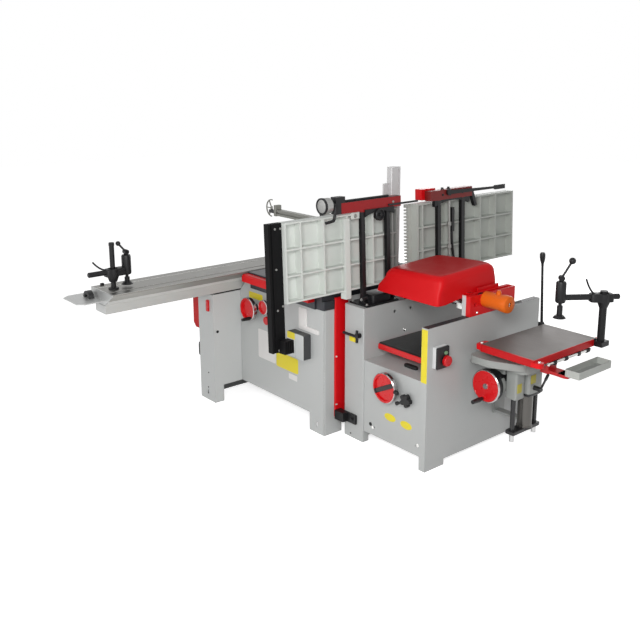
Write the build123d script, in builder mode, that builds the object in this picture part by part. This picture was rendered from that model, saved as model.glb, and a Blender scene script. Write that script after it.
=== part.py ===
"""Combination woodworking machine: sliding-table saw, spindle moulder, planer and slot mortiser."""

import os
from math import cos, radians, sin

from build123d import *

os.makedirs("parts", exist_ok=True)

# Driving dimensions in millimetres.
# The machine datum is the planer's inner left wall (X), its front edge (Y) and the floor (Z).
sheet = 4
run_gap = 0.05
slide_gap = 0.5

# Planer body.
wall_top = 795
wall_length = 945
planer_width = 439
left_wall_width = 160
right_wall_width = 43
wall_foot_height = 34
left_foot_length = 45
right_foot_length = 150
wall_right = planer_width + right_wall_width
panel_recess = 8
panel_bottom = 70
panel_top = 497
panel_shelf = 225
floor_height = 120
rear_panel_top = 520
rear_foot_left = 60
rear_foot_right = 260

# Thicknessing bed, its guide and its controls.
bed_side_gap = 12
bed_front = 102
bed_length = 660
bed_top = 583
bed_thick = 35
bed_rib = 22
bed_x = planer_width / 2
bed_y = bed_front + bed_length / 2
column_radius = 50
column_bottom = 160
guide_radius = 68
guide_top = 480
bed_wheel_z = 401
bed_wheel_radius = 85
wheel_shaft = 12
lock_inset = 87
lock_x = planer_width - lock_inset
wheel_spacing = 149
bed_wheel_x = lock_x - wheel_spacing
lock_z = 371
lock_stem = 7
button_y = 102
start_button_z = 656
stop_button_z = 614
button_stem = 10

# Cutterblock, feed rollers and their bearings.
cutter_y = 442
cutter_z = 872
cutter_radius = 38
cutter_shaft = 17.5
cutter_inset = 8
roller_offset = 76
roller_radius = 24
roller_drop = 16
roller_shaft = 10
left_bearing = 12
bracket_inset = 14
bracket_left = planer_width - bracket_inset
bracket_front = 324
bracket_rear = 706
bracket_top = 907
chuck_reach = 158
chuck_end = wall_right + chuck_reach
chuck_radius = 26
guard_radius = 57
guard_wall = 8
guard_length = 183
guard_end = wall_right + guard_length
belt_inset = 13
belt_x = planer_width + belt_inset
belt_width = 16
cutter_pulley = 32
motor_pulley = 45
motor_y = 800
motor_z = 240
motor_radius = 88
motor_length = 250
motor_inset = 39
motor_right = planer_width - motor_inset
motor_left = motor_right - motor_length
roller_flutes = 16

# Tilting planer tables, drawn in the table's own frame: across from the hinge, along Y, up.
hinge_x = -70
hinge_z = 826
lean = 2.4
table_near = 60
table_width = 430
table_height = 86
plate_thick = 14
rib_depth = 65
rib_thick = 10
infeed_front = -461
infeed_rear = 410
outfeed_front = 474
outfeed_rear = 1432
lip_tooth = 10
lip_depth = 22
pin_radius = 8
eye_radius = 15
arm_width = 26
arm_low = -3
lug_thick = 10
infeed_arms = (68, 262)
outfeed_arms = (690, 905)
beam_gap = 10
beam_width = 60
beam_near = table_near + table_width + beam_gap
beam_far = beam_near + beam_width
knob_inset = 8
knob_across = beam_far - knob_inset
knob_height = 20
lever_v = 770
lever_length = 530
lever_grip = 95
rail_width = 86
rail_thick = 38
rail_overhang = 198
end_block_height = 68
end_block_depth = 54

# Chip hood.
hood_left = -44
hood_right = bracket_left - 2 * slide_gap
hood_front = 130
hood_rear = 618
hood_low = 874
hood_top = 990
hood_pivot_y = 640
hood_pivot_z = 842
hood_pin = 8
hood_taper = 74
hood_slope = 0.065
hood_round = 22
hood_rear_round = 58
hood_clear = bracket_top + 26

# Saw cabinet.
saw_right = -204
saw_front = -117
saw_rear = 620
arm_right = -1036
arm_left = -1205
arm_front = -329
arm_top = 717
cabinet_bottom = 109
cabinet_foot = 134
post_bottom = 105
post_top = 826
post_thick = 10
tie_x = -30
tie_z = 635
table_top = 860
saw_table_thick = 45
saw_table_left = -920
saw_table_front = -135
saw_under = table_top - saw_table_thick

# Saw blade, its lifting unit and the spindle moulder.
blade_x = -900
blade_y = 250
blade_radius = 157.5
blade_thick = 3
knife_thick = 2.5
blade_low = 5
blade_teeth = 24
saw_belt_x = blade_x + 200
saw_belt_width = 20
saw_motor_left = saw_belt_x + 50
saw_motor_length = 200
arbor_z = table_top - blade_radius - blade_low
arbor_radius = 12.5
slot_width = 14
slot_length = 420
guide_x = -745
guide_y = 400
saw_guide = 30
saw_guide_bottom = 430
saw_motor_radius = 80
saw_motor_z = 500
saw_pulley = 22
saw_motor_pulley = 40
belt_thick = 3
spindle_x = -330
spindle_y = 330
spindle_hole = 80
quill_radius = 55
spindle_radius = 20
quill_low = 500
quill_high = 735
spindle_low = 436
spindle_top = 845
saw_wheel_x = -858
saw_wheel_z = 640
saw_wheel_radius = 74
spindle_wheel_x = -735
spindle_wheel_z = 672
spindle_wheel_radius = 46
switch_low = 442
stop_x = -727
stop_z = 586

# Sliding carriage and its rail.
carriage_left = -1197
carriage_right = -928
carriage_front = -1042
carriage_length = 2200
carriage_top = 863
carriage_depth = 80
carriage_under_left = carriage_left + 47
carriage_under_right = carriage_right - 100
carriage_wall = 8
end_cap = 6
handle_arch = 42
rail_bottom = arm_top + 11
rail_left = carriage_under_left - 5
rail_right = carriage_under_right - 2
clamp_x = carriage_right - 132
clamp_y = carriage_front + 70
clamp_post = 17
clamp_top = 1134
clamp_reach = 86
clamp_arm_z = 965

# Crosscut fence on the carriage.
fence_inset = 48
fence_reach = 1093
fence_y = carriage_front + carriage_length - fence_inset
fence_end = carriage_left - fence_reach
fence_base = 905
fence_size = 50
outer_ring = 75
inner_ring = 50
ring_hub = 10
inner_stop_x = fence_end + 650
inner_stop_z = 985

# Slot mortiser.
mortiser_reach = 253
mortiser_x = wall_right + mortiser_reach
column_front_y = 400
column_mid_y = 505
column_rear_y = 592
column_thin = 19
column_thick = 47
column_top = 555
stand_low = 190
stand_front = 364
casting_front = 340
casting_rear = 640
casting_top = 640
bridge_low = 560
front_leg_low = 350
rear_leg_low = 375
casting_round = 22
tongue_width = 60
tongue_height = 8
tongue_left = mortiser_x - 45
tongue_right = tongue_left + tongue_width
mort_lock_y = 486
mort_lock_z = 452
mort_wheel_offset = 103
mort_wheel_x = mortiser_x - mort_wheel_offset
mort_wheel_z = 458
mort_wheel_radius = 91
wheel_boss_front = casting_front + 4
slide_thick = 22
slide_front = casting_front - 10
slide_rear = casting_rear + 10
stop_rod = 9
slide_width = 340
slide_left = mortiser_x - 135
slide_right = slide_left + slide_width
mort_table_width = 340
mort_table_left = slide_left + 20
mort_table_right = mort_table_left + mort_table_width
mort_table_front = 240
mort_table_rear = 800
mort_table_thick = 36
tray_width = 142
tray_left = slide_right + 30
tray_right = tray_left + tray_width
tray_front = 404
tray_rear = 730
tray_depth = 38
tray_low = 602
tray_wall = 6
lever_x = slide_left - 15
lever_y = 826
lever_top = 1103
hold_x = mort_table_right + 17
hold_y = mort_table_rear
hold_post = 20
hold_top = 962
hold_arm_z = 930
hold_reach = 232
hold_turn = 54

# Cutterblock guard bar.
guard_bar_left = -237
guard_bar_thick = 40
guard_bar_front = 372
guard_bar_rear = 486
guard_bar_bottom = 872
guard_bar_top = 1535
guard_strip_low = 1000
guard_strip_high = 1441

# The row origin lies on the floor, in the middle of the outline in X and Y.
plate_front = carriage_front - 158
datum_x = -(fence_end + ring_hub - 2 * outer_ring + tray_right) / 2
datum_y = -(plate_front + outfeed_rear) / 2
datum = Plane(origin=(datum_x, datum_y, 0))


def level(z):
    """Horizontal plane at height z, seen from above."""
    return Plane(origin=(datum_x, datum_y, z), x_dir=(1, 0, 0), z_dir=(0, 0, 1))


def front(y):
    """Upright plane at y, seen from the front: X to the right, Z up."""
    return Plane(origin=(datum_x, datum_y + y, 0), x_dir=(1, 0, 0), z_dir=(0, -1, 0))


def side(x):
    """Upright plane at x, seen from the right: Y to the right, Z up."""
    return Plane(origin=(datum_x + x, datum_y, 0), x_dir=(0, 1, 0), z_dir=(1, 0, 0))


def span(left, right, low, high, mode=Mode.ADD):
    """Rectangle between two pairs of edges."""
    with Locations(((left + right) / 2, (low + high) / 2)):
        Rectangle(right - left, high - low, mode=mode)


def bar(x0, x1, y0, y1, z0, z1, mode=Mode.ADD):
    """Square-edged block between three pairs of faces."""
    with Locations(((x0 + x1) / 2, (y0 + y1) / 2, (z0 + z1) / 2)):
        Box(x1 - x0, y1 - y0, z1 - z0, mode=mode)


def rod_x(y, z, radius, x0, x1, mode=Mode.ADD):
    """Round bar along X."""
    with Locations(Location((x0, y, z), (0, 90, 0))):
        Cylinder(radius, x1 - x0, align=(Align.CENTER, Align.CENTER, Align.MIN), mode=mode)


def rod_y(x, z, radius, y0, y1, mode=Mode.ADD):
    """Round bar along Y."""
    with Locations(Location((x, y0, z), (-90, 0, 0))):
        Cylinder(radius, y1 - y0, align=(Align.CENTER, Align.CENTER, Align.MIN), mode=mode)


def rod_z(x, y, radius, z0, z1, mode=Mode.ADD):
    """Round bar along Z."""
    with Locations((x, y, z0)):
        Cylinder(radius, z1 - z0, align=(Align.CENTER, Align.CENTER, Align.MIN), mode=mode)


def save(piece, name):
    """Label a finished piece and write it to its own file."""
    piece.part.label = name
    export_step(piece.part, f"parts/{name}.step")


# Saw cabinet: folded sheet box with a forward leg under the carriage, standing on its corners.
with BuildPart(datum) as cabinet:
    with BuildSketch(level(0)):
        span(arm_right, saw_right, saw_front, saw_rear)
    extrude(amount=saw_under)
    fillet(cabinet.edges().filter_by(Axis.Z).group_by(Axis.X)[-1].sort_by(Axis.Y)[0], 14)
    with BuildSketch(level(0)):
        span(arm_left, arm_right, arm_front, saw_rear)
    extrude(amount=arm_top)
    bar(arm_right + sheet, saw_right - sheet, saw_front + sheet, saw_rear - sheet, 0, saw_under, Mode.SUBTRACT)
    bar(arm_left + sheet, arm_right - sheet, arm_front + sheet, saw_rear - sheet, 0, arm_top - sheet,
        Mode.SUBTRACT)
    # The upper left of the box slopes away beside the carriage.
    with BuildSketch(front(saw_rear)):
        Polygon((arm_right - sheet, arm_top), (saw_table_left - 26, saw_under), (arm_right - sheet, saw_under),
                align=None)
    extrude(amount=saw_rear - arm_front, mode=Mode.SUBTRACT)
    # Openings between the feet on all four sides.
    bar(arm_right, saw_right - cabinet_foot, saw_front - sheet, saw_front + 2 * sheet, 0, cabinet_bottom,
        Mode.SUBTRACT)
    bar(arm_left + cabinet_foot, saw_right - cabinet_foot, saw_rear - 2 * sheet, saw_rear + sheet, 0,
        cabinet_bottom, Mode.SUBTRACT)
    bar(saw_right - 2 * sheet, saw_right + sheet, saw_front + cabinet_foot, saw_rear - cabinet_foot, 0,
        cabinet_bottom, Mode.SUBTRACT)
    bar(arm_left - sheet, arm_right + 2 * sheet, arm_front + cabinet_foot / 2, saw_rear - cabinet_foot, 0,
        cabinet_bottom, Mode.SUBTRACT)
    # Control holes: saw wheel, spindle wheel and stop button.
    rod_y(saw_wheel_x, saw_wheel_z, wheel_shaft + run_gap, saw_front - sheet, saw_front + 2 * sheet,
          Mode.SUBTRACT)
    rod_y(spindle_wheel_x, spindle_wheel_z, wheel_shaft + run_gap, saw_front - sheet, saw_front + 2 * sheet,
          Mode.SUBTRACT)
    rod_y(stop_x, stop_z, wheel_shaft + run_gap, saw_front - sheet, saw_front + 2 * sheet, Mode.SUBTRACT)
    # Sight hole in the leg and bolt slots in the front feet.
    rod_x(arm_front + 27, 473, 7, arm_right - 2 * sheet, arm_right + sheet, Mode.SUBTRACT)
    with BuildSketch(front(saw_front + 2 * sheet)):
        with Locations((saw_right - cabinet_foot / 2, cabinet_bottom / 2)):
            SlotOverall(28, 12, rotation=90)
    extrude(amount=4 * sheet, mode=Mode.SUBTRACT)
    with BuildSketch(front(arm_front + 2 * sheet)):
        with Locations(((arm_left + arm_right) / 2, cabinet_bottom / 2)):
            SlotOverall(28, 12, rotation=90)
    extrude(amount=4 * sheet, mode=Mode.SUBTRACT)
    # Side plate with cut corners on the leg's outer face.
    with BuildSketch(front(arm_front + 60)):
        with BuildLine():
            Polyline((arm_left, 464), (arm_left, 676), (arm_left - 66, 662), (arm_left - 66, 492),
                     (arm_left - 40, 464), close=True)
        make_face()
    extrude(amount=60)
save(cabinet, "saw_cabinet")

# Carriage rail: aluminium box section on a packing foot that stands on the leg's top.
with BuildPart(datum) as carriage_rail:
    rail_top = carriage_top - carriage_depth - slide_gap
    with BuildSketch(front(carriage_front + carriage_length)):
        span(rail_left, rail_right, rail_bottom, rail_top)
        span(rail_left + 8, rail_right - 8, rail_bottom + 8, rail_top - 8, Mode.SUBTRACT)
    extrude(amount=carriage_length)
    bar(rail_left + 5, rail_right - 10, arm_front + 20, saw_rear - 20, arm_top, rail_bottom)
save(carriage_rail, "carriage_rail")

# Saw table: cast plate with a blade slot, a spindle opening, a front apron and its hanging guides.
with BuildPart(datum) as saw_table:
    with BuildSketch(level(saw_under)):
        span(saw_table_left, saw_right, saw_table_front, saw_rear)
        with Locations((blade_x, blade_y + 30)):
            SlotOverall(slot_length, slot_width, rotation=90, mode=Mode.SUBTRACT)
        with Locations((spindle_x, spindle_y)):
            Circle(spindle_hole, mode=Mode.SUBTRACT)
    extrude(amount=saw_table_thick)
    chamfer(saw_table.faces().sort_by(Axis.Z)[-1].outer_wire().edges(), 3)
    # Apron below the front edge, clear of the box's front sheet.
    bar(saw_table_left + 22, saw_right - 60, saw_table_front, saw_front, 759, saw_under)
    # Square guide for the saw's lifting unit.
    bar(guide_x - saw_guide, guide_x + saw_guide, guide_y - saw_guide, guide_y + saw_guide, saw_guide_bottom,
        saw_under)
    # Well and bored sleeve for the spindle quill.
    with BuildSketch(level(saw_under)):
        with Locations((spindle_x, spindle_y)):
            Circle(spindle_hole + 15)
            Circle(spindle_hole, mode=Mode.SUBTRACT)
    extrude(amount=-75)
    with BuildSketch(level(saw_under - 75)):
        with Locations((spindle_x, spindle_y)):
            Circle(spindle_hole + 15)
            Circle(quill_radius + run_gap, mode=Mode.SUBTRACT)
    extrude(amount=-180)
save(saw_table, "saw_table")

# Red bar along the front of the saw table.
with BuildPart(datum) as saw_bar:
    with BuildSketch(side(saw_table_left - 4)):
        with BuildLine():
            bar_low = 804
            bar_high = 850
            Polyline((saw_table_front, bar_low), (saw_table_front, bar_high), (saw_table_front - 34, bar_high),
                     (saw_table_front - 46, bar_high - 12), (saw_table_front - 46, bar_low), close=True)
        make_face()
    extrude(amount=saw_right - 60 - saw_table_left)
save(saw_bar, "saw_front_bar")

# Switch box on the saw's front panel: pale lid and dark back half in one moulding.
with BuildPart(datum) as switch_box:
    bar(saw_right - 196, saw_right - 120, saw_front - 54, saw_front, switch_low, switch_low + 150)
    fillet(switch_box.edges().filter_by(Axis.Y), 6)
save(switch_box, "saw_switch_box")

# Red post cover on the saw box's right side.
with BuildPart(datum) as post_cover:
    with BuildSketch(level(post_bottom)):
        span(saw_right, saw_right + post_thick, -41, 60)
    extrude(amount=post_top - post_bottom)
    chamfer(post_cover.edges().filter_by(Axis.Z).group_by(Axis.X)[-1], 4)
save(post_cover, "post_cover")

# Black bracket that ties the two bodies together near the floor.
with BuildPart(datum) as tie_bracket:
    bar(saw_right + post_thick, -50, -46, 0, 95, 150)
    bar(-left_wall_width + 40, -50, -46, -14, 95, 150, Mode.SUBTRACT)
    rod_y(-78, 122, 9, -24, -14)
save(tie_bracket, "tie_bracket")

# Planer left wall: hollow sheet box on two feet.
with BuildPart(datum) as left_wall:
    with BuildSketch(level(0)):
        span(-left_wall_width, 0, 0, wall_length)
    extrude(amount=wall_top)
    fillet(left_wall.edges().filter_by(Axis.Z).group_by(Axis.Y)[0], 6)
    bar(-left_wall_width + sheet, -sheet, sheet, wall_length - sheet, 0, wall_top - sheet, Mode.SUBTRACT)
    bar(-left_wall_width - sheet, sheet, left_foot_length, wall_length - left_foot_length, 0, wall_foot_height,
        Mode.SUBTRACT)
    with Locations(Location((-sheet, 241, 737), (0, 90, 0)), Location((-sheet, 371, 735), (0, 90, 0))):
        Cylinder(9, 4 * sheet, mode=Mode.SUBTRACT)
    rod_y(tie_x, tie_z, lock_stem + run_gap, -sheet, 2 * sheet, Mode.SUBTRACT)
save(left_wall, "planer_left_wall")

# Planer right wall: narrow hollow box with a belt passage in its top and one front foot.
with BuildPart(datum) as right_wall:
    with BuildSketch(level(0)):
        span(planer_width, wall_right, 0, wall_length)
    extrude(amount=wall_top)
    bar(planer_width + sheet, wall_right - sheet, sheet, wall_length - sheet, 0, wall_top - sheet, Mode.SUBTRACT)
    bar(planer_width - sheet, wall_right + sheet, right_foot_length, wall_length + sheet, 0, wall_foot_height,
        Mode.SUBTRACT)
    bar(belt_x - 4, belt_x + belt_width + 4, cutter_y - 70, motor_y, wall_top - 2 * sheet, wall_top,
        Mode.SUBTRACT)
    rod_x(motor_y, motor_z, 22, planer_width - sheet, planer_width + 2 * sheet, Mode.SUBTRACT)
save(right_wall, "planer_right_wall")

# Planer front panel with a shelf folded back from its top edge.
with BuildPart(datum) as front_panel:
    with BuildSketch(side(0)):
        span(panel_recess, panel_recess + sheet, panel_bottom, panel_top)
        span(panel_recess, panel_shelf, panel_top - sheet, panel_top)
    extrude(amount=planer_width)
    rod_y(bed_wheel_x, bed_wheel_z, wheel_shaft + run_gap, 0, 20, Mode.SUBTRACT)
    rod_y(lock_x, lock_z, lock_stem + run_gap, 0, 20, Mode.SUBTRACT)
    with BuildSketch(front(20)):
        with Locations((77, 120), (planer_width - 22, 126)):
            SlotOverall(30, 10)
    extrude(amount=20, mode=Mode.SUBTRACT)
save(front_panel, "planer_front_panel")

# Planer floor: bottom plate, rear panel with a foot, and the bored sleeve that guides the bed.
with BuildPart(datum) as base_frame:
    bar(0, planer_width, panel_recess + sheet, wall_length - sheet, floor_height, floor_height + 6)
    bar(0, planer_width, wall_length - 2 * sheet, wall_length - sheet, wall_foot_height, rear_panel_top)
    bar(rear_foot_left, rear_foot_right, wall_length - 40, wall_length - sheet, 0, floor_height)
    with BuildSketch(level(floor_height)):
        with Locations((bed_x, bed_y)):
            Circle(guide_radius)
            Circle(column_radius + run_gap, mode=Mode.SUBTRACT)
    extrude(amount=guide_top - floor_height)
    rod_z(bed_x, bed_y, column_radius + run_gap, floor_height, guide_top, Mode.SUBTRACT)
save(base_frame, "planer_base_frame")

# Hinge blocks on the left wall, the left bearing plate and the guard bar's holder.
with BuildPart(datum) as hinge_blocks:
    half = arm_width / 2 + slide_gap + lug_thick
    for first_arm, last_arm in (infeed_arms, outfeed_arms):
        bar(hinge_x - 82, hinge_x + 64, first_arm - half - 16, last_arm + half - 8, wall_top, wall_top + 10)
    for arm_y in infeed_arms + outfeed_arms:
        for lug_y in (arm_y - half, arm_y + half - lug_thick):
            with BuildSketch(front(lug_y + lug_thick)):
                with BuildLine():
                    Polyline((hinge_x + 32, wall_top), (hinge_x + 15, hinge_z))
                    RadiusArc((hinge_x + 15, hinge_z), (hinge_x - 15, hinge_z), -15)
                    Polyline((hinge_x - 15, hinge_z), (hinge_x - 32, wall_top), (hinge_x + 32, wall_top))
                make_face()
            extrude(amount=lug_thick)
        rod_y(hinge_x, hinge_z, pin_radius, arm_y - half, arm_y + half)
    with BuildSketch(side(-left_bearing)):
        bearing_half = roller_offset + 42
        span(cutter_y - bearing_half, cutter_y + bearing_half, wall_top, cutter_z)
        span(cutter_y, hood_pivot_y + 26, wall_top, hood_pivot_z + 16)
        with Locations((hood_pivot_y, hood_pivot_z)):
            Circle(hood_pin + run_gap, mode=Mode.SUBTRACT)
        with Locations((cutter_y, cutter_z)):
            Rectangle(2 * bearing_half - 60, 76)
        with Locations((cutter_y, cutter_z)):
            Circle(cutter_shaft + run_gap, mode=Mode.SUBTRACT)
        with Locations((cutter_y - roller_offset, cutter_z - roller_drop),
                       (cutter_y + roller_offset, cutter_z - roller_drop)):
            Circle(roller_shaft + run_gap, mode=Mode.SUBTRACT)
    extrude(amount=left_bearing)
    # Holder that reaches back between the tables to the guard bar.
    guard_bar_right = guard_bar_left + guard_bar_thick
    with BuildSketch(front(cutter_y + 20)):
        with BuildLine():
            Polyline((-150, wall_top), (-122, wall_top), (-122, 880), (-150, 960),
                     (guard_bar_right + slide_gap, 960), (guard_bar_right + slide_gap, 890), (-150, 890),
                     close=True)
        make_face()
    extrude(amount=40)
save(hinge_blocks, "table_hinge_blocks")

# Red bearing bracket and belt cover on the right wall.
with BuildPart(datum) as bracket:
    with BuildSketch(side(bracket_left)):
        span(bracket_front, bracket_rear, wall_top, bracket_top)
        with Locations((cutter_y, cutter_z)):
            Circle(cutter_shaft + run_gap, mode=Mode.SUBTRACT)
        with Locations((cutter_y - roller_offset, cutter_z - roller_drop),
                       (cutter_y + roller_offset, cutter_z - roller_drop)):
            Circle(roller_shaft + run_gap, mode=Mode.SUBTRACT)
        with Locations((hood_pivot_y, hood_pivot_z)):
            Circle(hood_pin + run_gap, mode=Mode.SUBTRACT)
    extrude(amount=wall_right - bracket_left)
    # Belt space, open downward into the hollow wall.
    bar(belt_x - 6, belt_x + belt_width + 6, cutter_y - 58, bracket_rear - 12, wall_top, cutter_z + 42,
        Mode.SUBTRACT)
save(bracket, "bearing_bracket")

# Orange guard over the drill chuck.
with BuildPart(datum) as chuck_guard:
    with BuildSketch(level(cutter_z)):
        with BuildLine():
            Polyline((wall_right, cutter_y + guard_radius - guard_wall), (wall_right, cutter_y + guard_radius),
                     (guard_end - 10, cutter_y + guard_radius), (guard_end, cutter_y + guard_radius - 10),
                     (guard_end, cutter_y + 16), (guard_end - guard_wall, cutter_y + 16),
                     (guard_end - guard_wall, cutter_y + guard_radius - guard_wall), close=True)
        make_face()
    revolve(axis=Axis((datum_x, datum_y + cutter_y, cutter_z), (1, 0, 0)))
    rod_z(guard_end - 85, cutter_y, 9, cutter_z + guard_radius - 3, cutter_z + guard_radius + 16)
save(chuck_guard, "chuck_guard")

# Planer switch housing on the right wall.
with BuildPart(datum) as planer_switch:
    bar(wall_right, wall_right + 33, 40, 130, 574, 690)
    fillet(planer_switch.edges().filter_by(Axis.X), 5)
    for button_z in (start_button_z, stop_button_z):
        rod_x(button_y, button_z, button_stem + run_gap, wall_right + 12, wall_right + 40, Mode.SUBTRACT)
save(planer_switch, "planer_switch")

# Planer drive: motor on the floor plate, its pulley in the hollow wall, and the belt up to the cutterblock.
with BuildPart(datum) as planer_drive:
    rod_x(motor_y, motor_z, motor_radius, motor_left, motor_right)
    bar(motor_left + 30, motor_right - 30, motor_y - 60, motor_y + 60, floor_height + 6, motor_z)
    rod_x(motor_y, motor_z, 15, motor_right, belt_x + belt_width)
    rod_x(motor_y, motor_z, motor_pulley, belt_x, belt_x + belt_width)
    with BuildSketch(side(belt_x)):
        with BuildLine() as run_outer:
            CenterArc((cutter_y, cutter_z), cutter_pulley + slide_gap + belt_thick, 0, 360)
            CenterArc((motor_y, motor_z), motor_pulley + belt_thick, 0, 360)
        make_hull(run_outer.edges())
        with BuildLine() as run_inner:
            CenterArc((cutter_y, cutter_z), cutter_pulley + slide_gap, 0, 360)
            CenterArc((motor_y, motor_z), motor_pulley, 0, 360)
        make_hull(run_inner.edges(), mode=Mode.SUBTRACT)
    extrude(amount=belt_width)
save(planer_drive, "planer_drive")

# Cutterblock: slotted cylinder with four knives, shaft, pulley and drill chuck.
with BuildPart(datum) as cutterblock:
    with BuildSketch(side(bed_side_gap)):
        with Locations((cutter_y, cutter_z)):
            Circle(cutter_radius - 2)
            with PolarLocations(cutter_radius - 6, 4):
                Rectangle(16, 7, mode=Mode.SUBTRACT)
            with PolarLocations(cutter_radius - 9, 4, start_angle=2):
                Rectangle(18, 3)
    extrude(amount=bracket_left - 2 * bed_side_gap - cutter_inset)
    rod_x(cutter_y, cutter_z, cutter_shaft, -left_bearing, chuck_end - 60)
    rod_x(cutter_y, cutter_z, cutter_pulley, belt_x, belt_x + belt_width)
    rod_x(cutter_y, cutter_z, chuck_radius, chuck_end - 110, chuck_end)
    rod_x(cutter_y, cutter_z, 9, chuck_end - 40, chuck_end, Mode.SUBTRACT)
    chamfer(cutterblock.faces().sort_by(Axis.X)[-1].outer_wire().edges(), 8)
save(cutterblock, "cutterblock")

# Feed rollers: fluted infeed roller and smooth outfeed roller.
for roller_name, roller_y, fluted in (("infeed_roller", cutter_y - roller_offset, True),
                                      ("outfeed_roller", cutter_y + roller_offset, False)):
    with BuildPart(datum) as roller:
        roller_z = cutter_z - roller_drop
        with BuildSketch(side(bed_side_gap)):
            with Locations((roller_y, roller_z)):
                Circle(roller_radius)
                if fluted:
                    with PolarLocations(roller_radius, roller_flutes):
                        Rectangle(5, 3, mode=Mode.SUBTRACT)
        extrude(amount=bracket_left - 2 * bed_side_gap)
        rod_x(roller_y, roller_z, roller_shaft, -left_bearing, bracket_left + 18)
    save(roller, roller_name)

# Thicknessing bed: plate with rounded ends, stiffening ribs and its lifting column.
with BuildPart(datum) as bed:
    with BuildSketch(side(bed_side_gap)) as bed_section:
        span(bed_front, bed_front + bed_length, bed_top - bed_thick, bed_top)
        fillet(bed_section.vertices().group_by(Axis.Y)[-1], bed_thick / 2)
    extrude(amount=planer_width - 2 * bed_side_gap)
    for rib_y in (bed_y - 180, bed_y, bed_y + 180):
        bar(bed_side_gap + 30, planer_width - bed_side_gap - 30, rib_y - 8, rib_y + 8,
            bed_top - bed_thick - bed_rib, bed_top - bed_thick)
    rod_z(bed_x, bed_y, column_radius, column_bottom, bed_top - bed_thick)
save(bed, "planer_bed")


def handwheel(x, z, radius, face_y, shaft_end, rim, dish, depth):
    """Handwheel on a shaft along Y: a disc, its rim standing forward by the dish, and a hub."""
    with BuildSketch(level(z)) as section:
        with BuildLine():
            Polyline((x, face_y), (x + radius - rim, face_y), (x + radius - rim, face_y - dish),
                     (x + radius - 4, face_y - dish), (x + radius, face_y - dish + 4),
                     (x + radius, face_y + depth), (x + 24, face_y + depth), (x + 24, shaft_end - 6),
                     (x, shaft_end - 6), close=True)
        make_face()
    revolve(section.sketch, axis=Axis((datum_x + x, datum_y, z), (0, 1, 0)))


def crank(x, z, radius, root_y, length):
    """Tapered crank handle pointing forward, made in the current part."""
    with BuildSketch(level(z)) as section:
        with BuildLine():
            Polyline((x, root_y), (x + 9, root_y), (x + 9, root_y - 8), (x + radius, root_y - length * 0.45),
                     (x + radius - 3, root_y - length), (x, root_y - length), close=True)
        make_face()
    revolve(section.sketch, axis=Axis((datum_x + x, datum_y, z), (0, 1, 0)))


# Bed height wheel: rim, disc with a raised grip bar, and its shaft through the front panel.
with BuildPart(datum) as bed_wheel:
    handwheel(bed_wheel_x, bed_wheel_z, bed_wheel_radius, -30, panel_recess - slide_gap, 14, 10, 14)
    rod_y(bed_wheel_x, bed_wheel_z, wheel_shaft, -10, 90)
    with BuildSketch(front(-30)):
        with Locations((bed_wheel_x, bed_wheel_z)):
            SlotOverall(2 * bed_wheel_radius - 34, 22, rotation=25)
    extrude(amount=8)
save(bed_wheel, "bed_wheel")

# Star knob that locks the bed.
with BuildPart(datum) as bed_lock:
    with BuildSketch(front(panel_recess - slide_gap - 14)):
        with Locations((lock_x, lock_z)):
            Circle(24)
            with PolarLocations(24, 5):
                Circle(13)
    extrude(amount=24)
    fillet(bed_lock.faces().sort_by(Axis.Y)[0].edges(), 3)
    rod_y(lock_x, lock_z, 15, panel_recess - slide_gap - 14, panel_recess - slide_gap)
    rod_y(lock_x, lock_z, lock_stem, panel_recess - slide_gap, 40)
save(bed_lock, "bed_lock_knob")

# Chip hood: drawn shell, open below, with rounded edges and two pivot ears at the back.
def hood_form(inset):
    """Tapered hood body with rounded edges, drawn in from the outside by an inset, about the datum."""
    with BuildPart() as form:
        with BuildSketch(Plane.XY.offset(hood_low)) as foot:
            span(hood_left + inset, hood_right - inset, hood_front + inset, hood_rear - inset)
        with BuildSketch(Plane(origin=(0, 0, hood_top - inset), x_dir=(1, 0, 0),
                               z_dir=(-hood_slope, -hood_slope, 1))) as crown:
            span(hood_left + hood_taper + inset, hood_right - 4 - inset, hood_front + 60 + inset,
                 hood_rear - 22 - inset)
        loft(Sketch() + [foot.sketch, crown.sketch])
        lid = form.faces().sort_by(Axis.Z)[-1]
        fillet(lid.edges().sort_by(Axis.Y)[-1], hood_rear_round - inset)
        front_face = form.faces().sort_by(Axis.Y)[0]
        fillet(front_face.edges().sort_by(Axis.X)[0], hood_round - inset)
        front_face = form.faces().sort_by(Axis.Y)[0]
        fillet(front_face.edges().sort_by(Axis.X)[-1], hood_round - inset)
        lid = form.faces().sort_by(Axis.Z)[-1]
        fillet(lid.edges().sort_by(Axis.Y)[0], hood_round - inset)
    return form.part


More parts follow.
